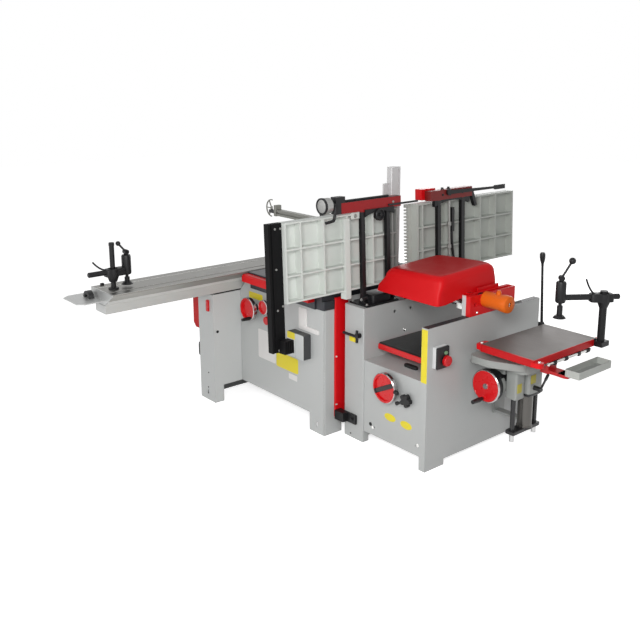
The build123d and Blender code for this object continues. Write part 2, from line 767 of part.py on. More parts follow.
hood_outside = hood_form(0)
hood_inside = hood_form(sheet)
with BuildPart(datum) as hood:
    add(hood_outside)
    add(hood_inside, mode=Mode.SUBTRACT)
    for ear_left, ear_right, pin_start, pin_end in (
            (slide_gap, 26, -left_bearing + 2, 10),
            (bracket_left - 34, bracket_left - slide_gap, bracket_left - 10, bracket_left + 14)):
        with BuildSketch(side(ear_left)):
            with BuildLine():
                Polyline((hood_rear - sheet, hood_low), (hood_rear - sheet, hood_low + 30),
                         (hood_rear + 6, hood_low + 30), (hood_pivot_y + 14, hood_pivot_z + 10),
                         (hood_pivot_y + 14, hood_pivot_z - 12), (hood_pivot_y - 14, hood_pivot_z - 12),
                         close=True)
            make_face()
        extrude(amount=ear_right - ear_left)
        rod_x(hood_pivot_y, hood_pivot_z, hood_pin, pin_start, pin_end)
    # Behind the bracket the right side's lower edge rises, clear of the cutterblock's shaft.
    with BuildSketch(side(hood_right - 8)):
        with BuildLine():
            Polyline((bracket_front, hood_low - 1), (bracket_front, hood_low), (hood_rear + 1, hood_clear),
                     (hood_rear + 1, hood_low - 1), close=True)
        make_face()
    extrude(amount=10, mode=Mode.SUBTRACT)
    # Rest tab over the bearing bracket.
    bar(hood_right - sheet - 2, bracket_left + 22, 356, 390, bracket_top + slide_gap, bracket_top + 8)
save(hood, "chip_hood")

# Frame of a tipped table: first axis runs from the hinge to the free edge, third is the working side.
tilt = radians(lean)
table_axis = (-sin(tilt), 0, cos(tilt))
table_normal = (-cos(tilt), 0, -sin(tilt))
table_frame = Plane(origin=(datum_x + hinge_x, datum_y, hinge_z), x_dir=table_axis, z_dir=table_normal)
table_far = table_near + table_width
rib_low = table_height - rib_depth


def tipped(height):
    """Plane of a tipped table at a height above its hinge axis."""
    return table_frame.offset(height)


def endwise(y):
    """Plane across a tipped table at y: first axis from the hinge to the free edge, second its working side."""
    return Plane(origin=(datum_x + hinge_x, datum_y + y, hinge_z), x_dir=table_axis, z_dir=(0, -1, 0))


for table_name, start, end, ribs, lip_at_end in (
        ("infeed_table", infeed_front, infeed_rear, (-355, -197, -28, 165, 320), True),
        ("outfeed_table", outfeed_front, outfeed_rear, (571, 815, 1104, 1254), False)):
    with BuildPart(datum) as planer_table:
        with BuildSketch(tipped(table_height - plate_thick)):
            span(table_near, table_far, start, end)
            # Noise-damping slots along the cutterblock edge.
            teeth = int((table_width - 2 * lip_tooth) / (2 * lip_tooth))
            lip_y = end - lip_depth / 2 if lip_at_end else start + lip_depth / 2
            with Locations((table_near + table_width / 2, lip_y)):
                with GridLocations(2 * lip_tooth, 1, teeth, 1):
                    Rectangle(lip_tooth, lip_depth, mode=Mode.SUBTRACT)
        extrude(amount=plate_thick)
        # Rim and rib grid on the underside.
        rim_start = start if lip_at_end else start + 52
        rim_end = end - 52 if lip_at_end else end
        with BuildSketch(tipped(rib_low)):
            span(table_near, table_far, rim_start, rim_end)
            cell_edges = (rim_start,) + ribs + (rim_end,)
            row = (table_width - 4 * rib_thick) / 3
            for near, far in zip(cell_edges, cell_edges[1:]):
                near_inset = rib_thick if near == rim_start else rib_thick / 2
                far_inset = rib_thick if far == rim_end else rib_thick / 2
                for count in range(3):
                    low = table_near + rib_thick + count * (row + rib_thick)
                    span(low, low + row, near + near_inset, far - far_inset, Mode.SUBTRACT)
        extrude(amount=rib_depth - plate_thick)
        if lip_at_end:
            # Wide foot rib that carries on below the table's edge.
            with BuildSketch(tipped(rib_low - 14)):
                span(18, table_far - 20, -62, -24)
            extrude(amount=14)
            with BuildSketch(tipped(rib_low)):
                span(18, table_near, -62, -24)
            extrude(amount=30)
    save(planer_table, table_name)

# Table carriers: two hinge arms and a lock beam on each table.
for carrier_name, arms, beam_start, beam_end in (("infeed_carrier", infeed_arms, -62, 363),
                                                 ("outfeed_carrier", outfeed_arms, 613, 990)):
    with BuildPart(datum) as carrier:
        for arm_y in arms:
            with BuildSketch(endwise(arm_y + arm_width / 2)):
                Circle(eye_radius)
                span(0, beam_near + 20, arm_low, rib_low)
                Circle(pin_radius + run_gap, mode=Mode.SUBTRACT)
            extrude(amount=arm_width)
        with BuildSketch(tipped(arm_low)):
            span(beam_near, beam_far, beam_start, beam_end)
        extrude(amount=48)
        if carrier_name == "infeed_carrier":
            # Bearing block for the lock knob, and the rods along the beam.
            with BuildSketch(tipped(arm_low)):
                span(beam_near, beam_far + 34, beam_start - 66, beam_start)
            extrude(amount=44)
            with BuildSketch(endwise(beam_start)):
                with Locations((knob_across, knob_height)):
                    Circle(pin_radius + run_gap)
            extrude(amount=66, mode=Mode.SUBTRACT)
            with BuildSketch(endwise(282)):
                with Locations((beam_far + 5, knob_height)):
                    Circle(7)
            extrude(amount=282 - beam_start)
            with BuildSketch(endwise(497)):
                with Locations((beam_near + 16, arm_low - 3)):
                    Circle(6)
            extrude(amount=497 - 258)
        else:
            # Straps from the beam down over the ribs.
            with BuildSketch(tipped(arm_low)):
                Polygon((beam_far - 30, beam_end - 14), (beam_far - 20, beam_end + 10),
                        (beam_near - 60, beam_end + 48), (beam_near - 66, beam_end + 28), align=None)
                span(beam_near - 204, beam_near - 56, 805, 825)
            extrude(amount=24)
            with BuildSketch(tipped(arm_low)):
                with Locations((beam_far - 18, lever_v)):
                    Circle(pin_radius + run_gap)
            extrude(amount=22, mode=Mode.SUBTRACT)
    save(carrier, carrier_name)

# Lock knob with a bent lever on the infeed carrier.
with BuildPart(datum) as infeed_lever:
    knob_front = -62 - 66 - slide_gap
    with BuildSketch(endwise(knob_front - 66)):
        with Locations((knob_across, knob_height)):
            Circle(44)
    extrude(amount=18)
    fillet(infeed_lever.faces().sort_by(Axis.Y)[0].edges(), 5)
    with BuildSketch(endwise(knob_front)):
        with Locations((knob_across, knob_height)):
            Circle(20)
    extrude(amount=66)
    with BuildSketch(endwise(knob_front + 40)):
        with Locations((knob_across, knob_height)):
            Circle(pin_radius)
    extrude(amount=60)
    with BuildSketch(tipped(knob_height - 42)):
        with BuildLine():
            Polyline((knob_across, knob_front - 2), (knob_across, knob_front - 16),
                     (knob_across - 70, knob_front - 24), (knob_across - 76, knob_front - 80),
                     (knob_across - 88, knob_front - 78), (knob_across - 84, knob_front - 14), close=True)
        make_face()
    extrude(amount=12)
    with BuildSketch(tipped(knob_height - 42)):
        with Locations((knob_across, knob_front - 12)):
            Circle(9)
    extrude(amount=30)
save(infeed_lever, "infeed_lock_lever")

# Long lock lever on the outfeed carrier.
with BuildPart(datum) as outfeed_lever:
    lever_low = arm_low - slide_gap - 12
    with BuildSketch(tipped(lever_low)):
        with BuildLine():
            lever_end = lever_v + lever_length
            grip_start = lever_end - lever_grip
            Polyline((beam_far - 6, lever_v - 14), (beam_far - 30, lever_v - 14),
                     (beam_far - 32, grip_start - 10), (beam_far - 40, grip_start),
                     (beam_far - 40, lever_end), (beam_far - 12, lever_end),
                     (beam_far - 12, grip_start), (beam_far - 18, grip_start - 10), close=True)
        make_face()
    extrude(amount=12)
    with BuildSketch(tipped(lever_low)):
        with Locations((beam_far - 18, lever_v)):
            Circle(20)
    extrude(amount=12)
    with BuildSketch(tipped(lever_low)):
        with Locations((beam_far - 18, lever_v)):
            Circle(pin_radius)
    extrude(amount=30)
save(outfeed_lever, "outfeed_lock_lever")

# Fence rail: grooved extrusion across the front end of the infeed table, with a ribbed end block.
with BuildPart(datum) as fence_rail:
    with BuildSketch(tipped(table_height - rail_thick)):
        span(-rail_overhang, table_far, infeed_front - rail_width, infeed_front)
    extrude(amount=rail_thick)
    # Clamping groove along its back face.
    groove_v = infeed_front - rail_width + 18
    with BuildSketch(tipped(table_height - rail_thick)):
        span(-rail_overhang, table_far, groove_v - 5, groove_v + 5)
    extrude(amount=6, mode=Mode.SUBTRACT)
    # End block behind the rail, ribbed on its outer side.
    block_low = table_height - rail_thick - end_block_depth
    with BuildSketch(tipped(block_low)):
        span(-rail_overhang - 2, end_block_height - rail_overhang, infeed_front - 46, infeed_front + 14)
    extrude(amount=end_block_depth)
    with BuildSketch(tipped(block_low)):
        with Locations((-rail_overhang + end_block_height / 2, infeed_front - 16)):
            with GridLocations(1, 12, 1, 4):
                Rectangle(end_block_height + 20, 5)
    extrude(amount=5, mode=Mode.SUBTRACT)
save(fence_rail, "fence_rail")

# Guard bar: grooved extrusion standing behind the tables.
with BuildPart(datum) as guard_bar:
    with BuildSketch(level(guard_bar_bottom)):
        span(guard_bar_left, guard_bar_right, guard_bar_front, guard_bar_rear)
        with Locations((guard_bar_right - 4, cutter_y - 44), (guard_bar_right - 4, cutter_y + 30)):
            Rectangle(8, 12, mode=Mode.SUBTRACT)
    extrude(amount=guard_bar_top - guard_bar_bottom)
    bar(guard_bar_left + 8, guard_bar_left + 20, guard_bar_front - 22, guard_bar_front, guard_strip_low,
        guard_strip_high)
save(guard_bar, "guard_bar")

# Sliding carriage: hollow aluminium extrusion with sloping sides, a centre web and two top grooves.
with BuildPart(datum) as carriage:
    carriage_low = carriage_top - carriage_depth
    with BuildSketch(front(carriage_front + carriage_length)):
        with BuildLine():
            Polyline((carriage_under_left, carriage_low), (carriage_left, carriage_top - 22),
                     (carriage_left, carriage_top), (carriage_right, carriage_top),
                     (carriage_right, carriage_top - 10), (carriage_under_right, carriage_low), close=True)
        make_face()
        with BuildLine():
            web_x = (carriage_under_left + carriage_under_right) / 2
            Polyline((carriage_under_left + 10, carriage_low + carriage_wall),
                     (carriage_left + 22, carriage_top - 28),
                     (carriage_left + 22, carriage_top - 2 * carriage_wall),
                     (web_x - 5, carriage_top - 2 * carriage_wall), (web_x - 5, carriage_low + carriage_wall),
                     close=True)
        make_face(mode=Mode.SUBTRACT)
        with BuildLine():
            Polyline((web_x + 5, carriage_low + carriage_wall), (web_x + 5, carriage_top - 2 * carriage_wall),
                     (carriage_right - 32, carriage_top - 2 * carriage_wall),
                     (carriage_under_right - 8, carriage_low + carriage_wall), close=True)
        make_face(mode=Mode.SUBTRACT)
        for groove_x in (carriage_left + 60, carriage_right - 62):
            span(groove_x - 6, groove_x + 6, carriage_top - 10, carriage_top, Mode.SUBTRACT)
    extrude(amount=carriage_length)
save(carriage, "carriage")

# Support plate on the carriage's front end, with the end cap and an arched handle.
with BuildPart(datum) as end_plate:
    plate_left = carriage_left - 73
    plate_low = carriage_top - 57
    plate_top = plate_low + 6
    with BuildSketch(level(plate_low)):
        with BuildLine():
            Polyline((plate_left, carriage_front - 30), (plate_left, plate_front + 40),
                     (plate_left + 30, plate_front), (rail_right - 32, plate_front),
                     (rail_right, plate_front + 34), (rail_right, carriage_front),
                     (plate_left + 50, carriage_front), close=True)
        make_face()
    extrude(amount=plate_top - plate_low)
    # Cap over the hollow end of the extrusion.
    with BuildSketch(front(carriage_front)):
        with BuildLine():
            Polyline((carriage_under_left, carriage_low + 2), (carriage_left, carriage_top - 22),
                     (carriage_left, carriage_top), (carriage_right, carriage_top),
                     (carriage_right, carriage_top - 10), (carriage_under_right, carriage_low + 2), close=True)
        make_face()
    extrude(amount=end_cap)
    with BuildSketch(front(carriage_front - 28)):
        with Locations((plate_left + 118, plate_top)):
            Circle(handle_arch)
            Circle(handle_arch - 20, mode=Mode.SUBTRACT)
        span(plate_left, plate_left + 2 * 118, plate_low - handle_arch, plate_low, Mode.SUBTRACT)
    extrude(amount=30)
save(end_plate, "carriage_end_plate")

# Crosscut fence: grooved bar carried on two blocks across the carriage.
with BuildPart(datum) as crosscut_fence:
    with BuildSketch(side(fence_end)):
        with Locations((fence_y, fence_base + fence_size / 2)):
            Rectangle(fence_size, fence_size)
            with Locations((-fence_size / 2 + 5, 0)):
                Rectangle(10, 12, mode=Mode.SUBTRACT)
    extrude(amount=carriage_right - fence_end)
    for block_x in (carriage_left + 30, carriage_right - 30):
        bar(block_x - 24, block_x + 24, fence_y - 35, fence_y + 35, carriage_top, fence_base)
    # Saddle for the inner stop, and the pin holes of both stops.
    bar(inner_stop_x, inner_stop_x + 40, fence_y - 18, fence_y + 18, fence_base + fence_size, inner_stop_z + 14)
    rod_x(fence_y, inner_stop_z, 6 + run_gap, inner_stop_x, inner_stop_x + 30, Mode.SUBTRACT)
    rod_x(fence_y, fence_base + fence_size / 2, 6 + run_gap, fence_end, fence_end + 30, Mode.SUBTRACT)
save(crosscut_fence, "crosscut_fence")

# Flip stops: hub block, pivot pin and a spoked half ring.
for stop_name, pivot_x, pivot_z, ring_rise, ring in (
        ("outer_flip_stop", fence_end, fence_base + fence_size / 2, 27, outer_ring),
        ("inner_flip_stop", inner_stop_x, inner_stop_z, 28, inner_ring)):
    with BuildPart(datum) as flip_stop:
        hub_end = pivot_x - ring - ring_hub
        bar(hub_end, pivot_x - slide_gap, fence_y - 16, fence_y + 16, pivot_z - 12, pivot_z + 14)
        rod_x(fence_y, pivot_z, 6, pivot_x - slide_gap - 1, pivot_x + 28)
        with BuildSketch(front(fence_y + 4)):
            with Locations((hub_end + 2 * ring_hub, pivot_z + ring_rise)):
                Circle(ring)
                Circle(ring - 9, mode=Mode.SUBTRACT)
                for spoke in (120, 180, 240):
                    with PolarLocations(ring / 2, 1, start_angle=spoke):
                        Rectangle(ring - 6, 7)
                Circle(16)
            ring_right = hub_end + 4 * ring_hub + ring
            span(hub_end + 2 * ring_hub, ring_right, pivot_z - 2 * ring, pivot_z - 12, Mode.SUBTRACT)
            span(hub_end + 3 * ring_hub, ring_right, pivot_z + 14, pivot_z + 3 * ring, Mode.SUBTRACT)
            span(pivot_x - slide_gap, pivot_x + ring, pivot_z - ring, pivot_z + ring, Mode.SUBTRACT)
        extrude(amount=8)
    save(flip_stop, stop_name)

# Hold-down clamps: one on the carriage and one on the mortiser table, each drawn from its own post.
for clamp_name, post_frame, post_radius, reach, arm_z, grip, press, lock_place, lock_lean in (
        ("carriage_clamp", Plane(origin=(datum_x + clamp_x, datum_y + clamp_y, 0), x_dir=(0, 1, 0)),
         clamp_post, clamp_reach, clamp_arm_z, 154, 72, -40, -48),
        ("mortise_clamp", Plane(origin=(datum_x + hold_x, datum_y + hold_y, 0),
                                x_dir=(-cos(radians(hold_turn)), -sin(radians(hold_turn)), 0)),
         hold_post, hold_reach, hold_arm_z, 84, 96, 34, 34)):
    barrel_top = arm_z + 88
    cam_z = barrel_top + 16
    with BuildPart(post_frame) as clamp_arm:
        with BuildSketch(post_frame.offset(arm_z - 20)):
            with BuildLine():
                Polyline((-34, -30), (30, -30), (reach, -18), (reach, 18), (30, 30), (-34, 30), close=True)
            make_face()
            with Locations((reach, 0)):
                Circle(27)
        extrude(amount=40)
        fillet(clamp_arm.edges().filter_by(Axis.Z).sort_by_distance((0, 0, 0))[-1], 2)
        rod_z(reach, 0, 27, arm_z - 24, barrel_top)
        for cheek in (-24, 17):
            bar(reach - 13, reach + 13, cheek, cheek + 7, barrel_top, cam_z + 12)
        with Locations(Location((reach, -20, cam_z), (-90, 0, 0))):
            Cylinder(5, 40, align=(Align.CENTER, Align.CENTER, Align.MIN))
        with Locations(Location((-grip, 0, arm_z), (0, 90, 0))):
            Cone(14, 10, grip - 30, align=(Align.CENTER, Align.CENTER, Align.MIN))
        with Locations(Location((lock_place, 0, arm_z + 6), (0, lock_lean, 0))):
            Cylinder(5, 96, align=(Align.CENTER, Align.CENTER, Align.MIN))
        rod_z(0, 0, post_radius + run_gap, arm_z - 30, arm_z + 30, Mode.SUBTRACT)
        rod_z(reach, 0, 9 + run_gap, arm_z - 30, barrel_top, Mode.SUBTRACT)
    save(clamp_arm, clamp_name + "_arm")

    with BuildPart(post_frame) as clamp_spindle:
        rod_z(reach, 0, 9, arm_z - press, barrel_top)
        rod_z(reach, 0, 15, arm_z - press, arm_z - 44)
        with Locations((reach, 0, arm_z - press - 14)):
            Cone(34, 22, 14, align=(Align.CENTER, Align.CENTER, Align.MIN))
    save(clamp_spindle, clamp_name + "_spindle")

    with BuildPart(post_frame) as clamp_lever:
        with Locations(Location((reach, -16, cam_z), (-90, 0, 0))):
            Cylinder(14, 32, align=(Align.CENTER, Align.CENTER, Align.MIN))
        with Locations(Location((reach, 0, cam_z), (0, -40, 0))):
            Cylinder(6, 66, align=(Align.CENTER, Align.CENTER, Align.MIN))
            with Locations((0, 0, 70)):
                Sphere(14)
        with Locations(Location((reach, -20, cam_z), (-90, 0, 0))):
            Cylinder(5 + run_gap, 40, align=(Align.CENTER, Align.CENTER, Align.MIN), mode=Mode.SUBTRACT)
    save(clamp_lever, clamp_name + "_lever")

# Post of the carriage clamp with a foot and a knurled cap.
with BuildPart(datum) as clamp_column:
    rod_z(clamp_x, clamp_y, 30, carriage_top, carriage_top + 8)
    rod_z(clamp_x, clamp_y, clamp_post, carriage_top, clamp_top)
    with BuildSketch(level(clamp_top - 34)):
        with Locations((clamp_x, clamp_y)):
            Circle(clamp_post + 4)
            with PolarLocations(clamp_post + 5, 10):
                Circle(3, mode=Mode.SUBTRACT)
    extrude(amount=34)
save(clamp_column, "carriage_clamp_post")

# Lifting unit of the saw: collar on the square guide, arbor bearing and web for the motor.
with BuildPart(datum) as arbor_unit:
    with BuildSketch(level(saw_guide_bottom + 90)):
        with Locations((guide_x, guide_y)):
            Rectangle(2 * saw_guide + 36, 2 * saw_guide + 36)
            Rectangle(2 * saw_guide + 2 * slide_gap, 2 * saw_guide + 2 * slide_gap, mode=Mode.SUBTRACT)
    extrude(amount=200)
    web_y = guide_y - saw_guide - 18
    bar(guide_x - 48, saw_motor_left + 130, web_y - 20, web_y, saw_guide_bottom, arbor_z + 18.5)
    bar(guide_x - 48, guide_x + 20, blade_y, web_y, arbor_z - 20, arbor_z + 20)
    rod_x(blade_y, arbor_z, arbor_radius + 13.5, blade_x + 15, saw_belt_x - 6)
    rod_x(blade_y, arbor_z, arbor_radius + run_gap, blade_x + 10, saw_belt_x, Mode.SUBTRACT)
    # Arm behind the blade for the riving knife.
    bar(blade_x + 4, blade_x + 18, blade_y + 14, blade_y + 202, arbor_z - 36, arbor_z - 8)
    bar(blade_x + knife_thick / 2, blade_x + 4, blade_y + 168, blade_y + 202, arbor_z - 36, arbor_z - 8)
    # Riving knife bolted to that arm.
    with BuildSketch(side(blade_x - knife_thick / 2)):
        with Locations((blade_y, arbor_z)):
            Circle(blade_radius + 38)
            Circle(blade_radius + 6, mode=Mode.SUBTRACT)
        span(blade_y + 60, blade_y + 300, arbor_z - 40, table_top - 6, mode=Mode.INTERSECT)
    extrude(amount=knife_thick)
save(arbor_unit, "saw_lift_unit")

# Saw motor with its belt.
with BuildPart(datum) as saw_drive:
    rod_x(blade_y, saw_motor_z, saw_motor_radius, saw_motor_left, saw_motor_left + saw_motor_length)
    bar(saw_motor_left + 30, saw_motor_left + 120, blade_y, guide_y - saw_guide - 38, saw_motor_z - 40,
        saw_motor_z + 40)
    rod_x(blade_y, saw_motor_z, 12, saw_belt_x, saw_motor_left)
    rod_x(blade_y, saw_motor_z, saw_motor_pulley, saw_belt_x, saw_belt_x + saw_belt_width)
    with BuildSketch(side(saw_belt_x)):
        with BuildLine() as saw_run:
            CenterArc((blade_y, arbor_z), saw_pulley + slide_gap + belt_thick, 0, 360)
            CenterArc((blade_y, saw_motor_z), saw_motor_pulley + belt_thick, 0, 360)
        make_hull(saw_run.edges())
        with BuildLine() as saw_run_inner:
            CenterArc((blade_y, arbor_z), saw_pulley + slide_gap, 0, 360)
            CenterArc((blade_y, saw_motor_z), saw_motor_pulley, 0, 360)
        make_hull(saw_run_inner.edges(), mode=Mode.SUBTRACT)
    extrude(amount=saw_belt_width)
save(saw_drive, "saw_drive")

# Saw blade on its arbor, with flanges and pulley.
with BuildPart(datum) as saw_blade:
    with BuildSketch(side(blade_x - blade_thick / 2)):
        with Locations((blade_y, arbor_z)):
            Circle(blade_radius)
            with PolarLocations(blade_radius, blade_teeth):
                Rectangle(18, 6, rotation=24, mode=Mode.SUBTRACT)
    extrude(amount=blade_thick)
    rod_x(blade_y, arbor_z, 26, blade_x - 14, blade_x + 3.5)
    rod_x(blade_y, arbor_z, arbor_radius, blade_x - 22, saw_belt_x + saw_belt_width + 2)
    rod_x(blade_y, arbor_z, saw_pulley, saw_belt_x, saw_belt_x + saw_belt_width)
save(saw_blade, "saw_blade")

# Saw height wheel with a crank.
with BuildPart(datum) as saw_wheel:
    handwheel(saw_wheel_x, saw_wheel_z, saw_wheel_radius, saw_front - 66, saw_front - slide_gap, 14, 12, 14)
    rod_y(saw_wheel_x, saw_wheel_z, wheel_shaft, saw_front - 30, saw_front + 110)
    crank(saw_wheel_x + 44, saw_wheel_z - 46, 12, saw_front - 60, 84)
save(saw_wheel, "saw_wheel")

# Spindle moulder: quill in the table's sleeve and the spindle that runs in it.
with BuildPart(datum) as spindle_quill:
    with BuildSketch(level(quill_low)):
        with Locations((spindle_x, spindle_y)):
            Circle(quill_radius)
            Circle(spindle_radius + run_gap, mode=Mode.SUBTRACT)
    extrude(amount=quill_high - quill_low)
save(spindle_quill, "spindle_quill")

with BuildPart(datum) as spindle_shaft:
    with BuildSketch(side(spindle_x)):
        with BuildLine():
            pulley_top = spindle_low + 28
            collar_low = quill_high + slide_gap
            Polyline((spindle_y, spindle_low), (spindle_y + 45, spindle_low), (spindle_y + 38, spindle_low + 14),
                     (spindle_y + 45, pulley_top), (spindle_y + spindle_radius, pulley_top),
                     (spindle_y + spindle_radius, collar_low), (spindle_y + 32, collar_low),
                     (spindle_y + 32, collar_low + 10.5), (spindle_y + 15, collar_low + 14.5),
                     (spindle_y + 15, spindle_top - 7), (spindle_y + 11, spindle_top), (spindle_y, spindle_top),
                     close=True)
        make_face()
    revolve(axis=Axis((datum_x + spindle_x, datum_y + spindle_y, 0), (0, 0, 1)))
save(spindle_shaft, "spindle_shaft")

# Spindle height wheel.
with BuildPart(datum) as spindle_wheel:
    handwheel(spindle_wheel_x, spindle_wheel_z, spindle_wheel_radius, saw_front - 40, saw_front - slide_gap,
              12, 6, 12)
    rod_y(spindle_wheel_x, spindle_wheel_z, wheel_shaft, saw_front - 20, saw_front + 90)
save(spindle_wheel, "spindle_wheel")

# Stop button of the saw.
with BuildPart(datum) as saw_stop:
    rod_y(stop_x, stop_z, 26, saw_front - 32, saw_front - 12)
    fillet(saw_stop.faces().sort_by(Axis.Y)[0].edges(), 6)
    rod_y(stop_x, stop_z, wheel_shaft, saw_front - 14, saw_front + 26)
save(saw_stop, "saw_stop_button")

# Tee handle that locks the two bodies together.
with BuildPart(datum) as tie_handle:
    rod_y(tie_x, tie_z, lock_stem, -30, 26)
    rod_y(tie_x, tie_z, 14, -30, -slide_gap)
    rod_z(tie_x, -24, 8, tie_z - 37, tie_z + 33)
    rod_x(-24, tie_z - 3, 8, tie_x - 113, tie_x)
save(tie_handle, "tie_handle")

# Start and stop buttons of the planer.
with BuildPart(datum) as start_button:
    rod_x(button_y, start_button_z, button_stem, wall_right + 16, wall_right + 39)
save(start_button, "planer_start_button")

with BuildPart(datum) as stop_button:
    rod_x(button_y, stop_button_z, button_stem, wall_right + 16, wall_right + 40)
    rod_x(button_y, stop_button_z, 29, wall_right + 38, wall_right + 58)
    fillet(stop_button.faces().sort_by(Axis.X)[-1].edges(), 7)
save(stop_button, "planer_stop_button")

# Mortiser stand: wall plate, lower bracket and three columns.
with BuildPart(datum) as mortiser_stand:
    with BuildSketch(side(wall_right)):
        with BuildLine():
            Polyline((stand_front, column_top + 5), (stand_front, column_top - 85),
                     (stand_front + 36, stand_low - 10), (casting_rear, stand_low - 10),
                     (casting_rear, column_top - 115), (casting_rear - 40, column_top + 5), close=True)
        make_face()
    extrude(amount=18)
    with BuildSketch(level(stand_low)):
        with BuildLine():
            Polyline((wall_right, stand_front + 56), (mortiser_x - 50, stand_front),
                     (mortiser_x + 34, stand_front), (mortiser_x + 34, casting_rear - 10),
                     (mortiser_x - 50, casting_rear), (wall_right, casting_rear - 20), close=True)
        make_face()
    extrude(amount=24)
    bar(wall_right, mortiser_x - 60, column_mid_y - 5, column_mid_y + 11, stand_low - 70, stand_low)
    rod_z(mortiser_x, column_front_y, column_thin, stand_low - 40, column_top)
    rod_z(mortiser_x, column_mid_y, column_thick, stand_low, column_top)
    rod_z(mortiser_x, column_rear_y, column_thin, stand_low - 40, column_top)
save(mortiser_stand, "mortiser_stand")

# Mortiser casting: rounded bridge, two legs bored for the columns, wheel boss, guide tongue and lock lever.
with BuildPart(datum) as casting:
    with BuildSketch(level(bridge_low)) as bridge:
        with BuildLine():
            Polyline((wall_right + 38, casting_front + 5), (mortiser_x - 45, casting_front),
                     (mortiser_x + 80, casting_front + 12), (mortiser_x + 105, casting_front + 80),
                     (mortiser_x + 105, casting_rear - 40), (mortiser_x + 65, casting_rear),
                     (wall_right + 78, casting_rear), (wall_right + 38, casting_rear - 80), close=True)
        make_face()
        fillet(bridge.vertices(), casting_round)
    extrude(amount=casting_top - bridge_low)
    fillet(casting.faces().sort_by(Axis.Z)[-1].outer_wire().edges(), 6)
    for leg_low, leg_left, leg_right, leg_front, leg_rear in (
            (front_leg_low, mortiser_x - 45, mortiser_x + 55, casting_front + 12, casting_front + 104),
            (rear_leg_low, mortiser_x - 67, mortiser_x + 71, casting_front + 108, casting_rear - 14)):
        with BuildSketch(level(leg_low)) as leg:
            span(leg_left, leg_right, leg_front, leg_rear)
            fillet(leg.vertices(), casting_round)
        extrude(amount=bridge_low - leg_low)
    rod_y(mort_wheel_x, mort_wheel_z, 62, wheel_boss_front, casting_front + 80)
    bar(mort_wheel_x - 40, mort_wheel_x + 62, casting_front + 12, casting_front + 80, mort_wheel_z,
        bridge_low + 10)
    bar(tongue_left, tongue_right, casting_front + 10, casting_rear - 4, casting_top,
        casting_top + tongue_height)
    # Lock lever on the right side of the rear leg.
    rod_x(mort_lock_y, mort_lock_z, 11, mortiser_x + 70, mortiser_x + 112)
    with Locations(Location((mortiser_x + 104, mort_lock_y, mort_lock_z), (-42, 0, 0))):
        Cylinder(6.5, 96, align=(Align.CENTER, Align.CENTER, Align.MIN))
    for column_y, radius in ((column_front_y, column_thin), (column_mid_y, column_thick),
                             (column_rear_y, column_thin)):
        rod_z(mortiser_x, column_y, radius + run_gap, front_leg_low - 10, casting_top + tongue_height,
              Mode.SUBTRACT)
    rod_y(mort_wheel_x, mort_wheel_z, wheel_shaft + run_gap, wheel_boss_front - 4, casting_front + 90,
          Mode.SUBTRACT)
save(casting, "mortiser_casting")

# Mortiser height wheel: flat disc in a deep rim, hub button and crank.
with BuildPart(datum) as mortiser_wheel:
    wheel_face = wheel_boss_front - 51
    handwheel(mort_wheel_x, mort_wheel_z, mort_wheel_radius, wheel_face, wheel_boss_front - slide_gap, 7, 3, 26)
    rod_y(mort_wheel_x, mort_wheel_z, wheel_shaft, wheel_boss_front - 14, casting_front + 76)
    rod_y(mort_wheel_x, mort_wheel_z, 14, wheel_face - 6, wheel_face)
    crank(mort_wheel_x - 8, mort_wheel_z - 68, 14, wheel_face, 92)
save(mortiser_wheel, "mortiser_wheel")

# Lower slide of the mortiser: grooved plate, lever arm at the back, stop rod and tray with its bracket.
with BuildPart(datum) as mort_slide:
    slide_low = casting_top + slide_gap
    slide_top = slide_low + slide_thick
    bar(slide_left, slide_right, slide_front, slide_rear, slide_low, slide_top)
    bar(tongue_left - slide_gap, tongue_right + slide_gap, slide_front, slide_rear, slide_low,
        casting_top + tongue_height + slide_gap, Mode.SUBTRACT)
    bar(lever_x - 14, slide_left + 50, casting_rear, lever_y + 16, slide_low, slide_top)
    bar(lever_x - 12, lever_x + 12, lever_y - 14, lever_y - 6, slide_top, slide_top + 34)
    rod_y(lever_x, slide_top + 20, 6, lever_y - 14, lever_y + 14)
    # Stop rod beside the plate's right edge, in two blocks.
    rod_y(slide_right + 15, slide_low + 9.5, stop_rod, slide_front + 70, slide_rear + 86)
    for block_y in (slide_front + 90, slide_rear - 20):
        bar(slide_right, slide_right + 26, block_y - 12, block_y + 12, slide_low, slide_top - 3)
    bar(slide_right - 60, slide_right - 8, tray_front + 3, tray_front + 106, tray_low - 20, slide_low)
    bar(slide_right - 60, tray_left + 80, tray_front + 3, tray_front + 106, tray_low - 20, tray_low)
    with BuildSketch(level(tray_low)):
        span(tray_left, tray_right, tray_front, tray_rear)
    extrude(amount=tray_depth)
    bar(tray_left + tray_wall, tray_right - tray_wall, tray_front + tray_wall, tray_rear - tray_wall,
        tray_low + tray_wall, tray_low + tray_depth, Mode.SUBTRACT)
save(mort_slide, "mortiser_slide")

# Upper table of the mortiser with rounded corners, and the post of its clamp.
with BuildPart(datum) as mort_table:
    mort_low = slide_top + slide_gap
    with BuildSketch(level(mort_low)) as mort_plate:
        span(mort_table_left, mort_table_right, mort_table_front, mort_table_rear)
        fillet(mort_plate.vertices(), 16)
    extrude(amount=mort_table_thick)
    chamfer(mort_table.faces().sort_by(Axis.Z)[-1].outer_wire().edges(), 4)
    bar(mort_table_right - 30, hold_x + 30, hold_y - 34, hold_y + 34, mort_low, mort_low + 28)
    rod_z(hold_x, hold_y, hold_post, mort_low, hold_top)
save(mort_table, "mortiser_table")

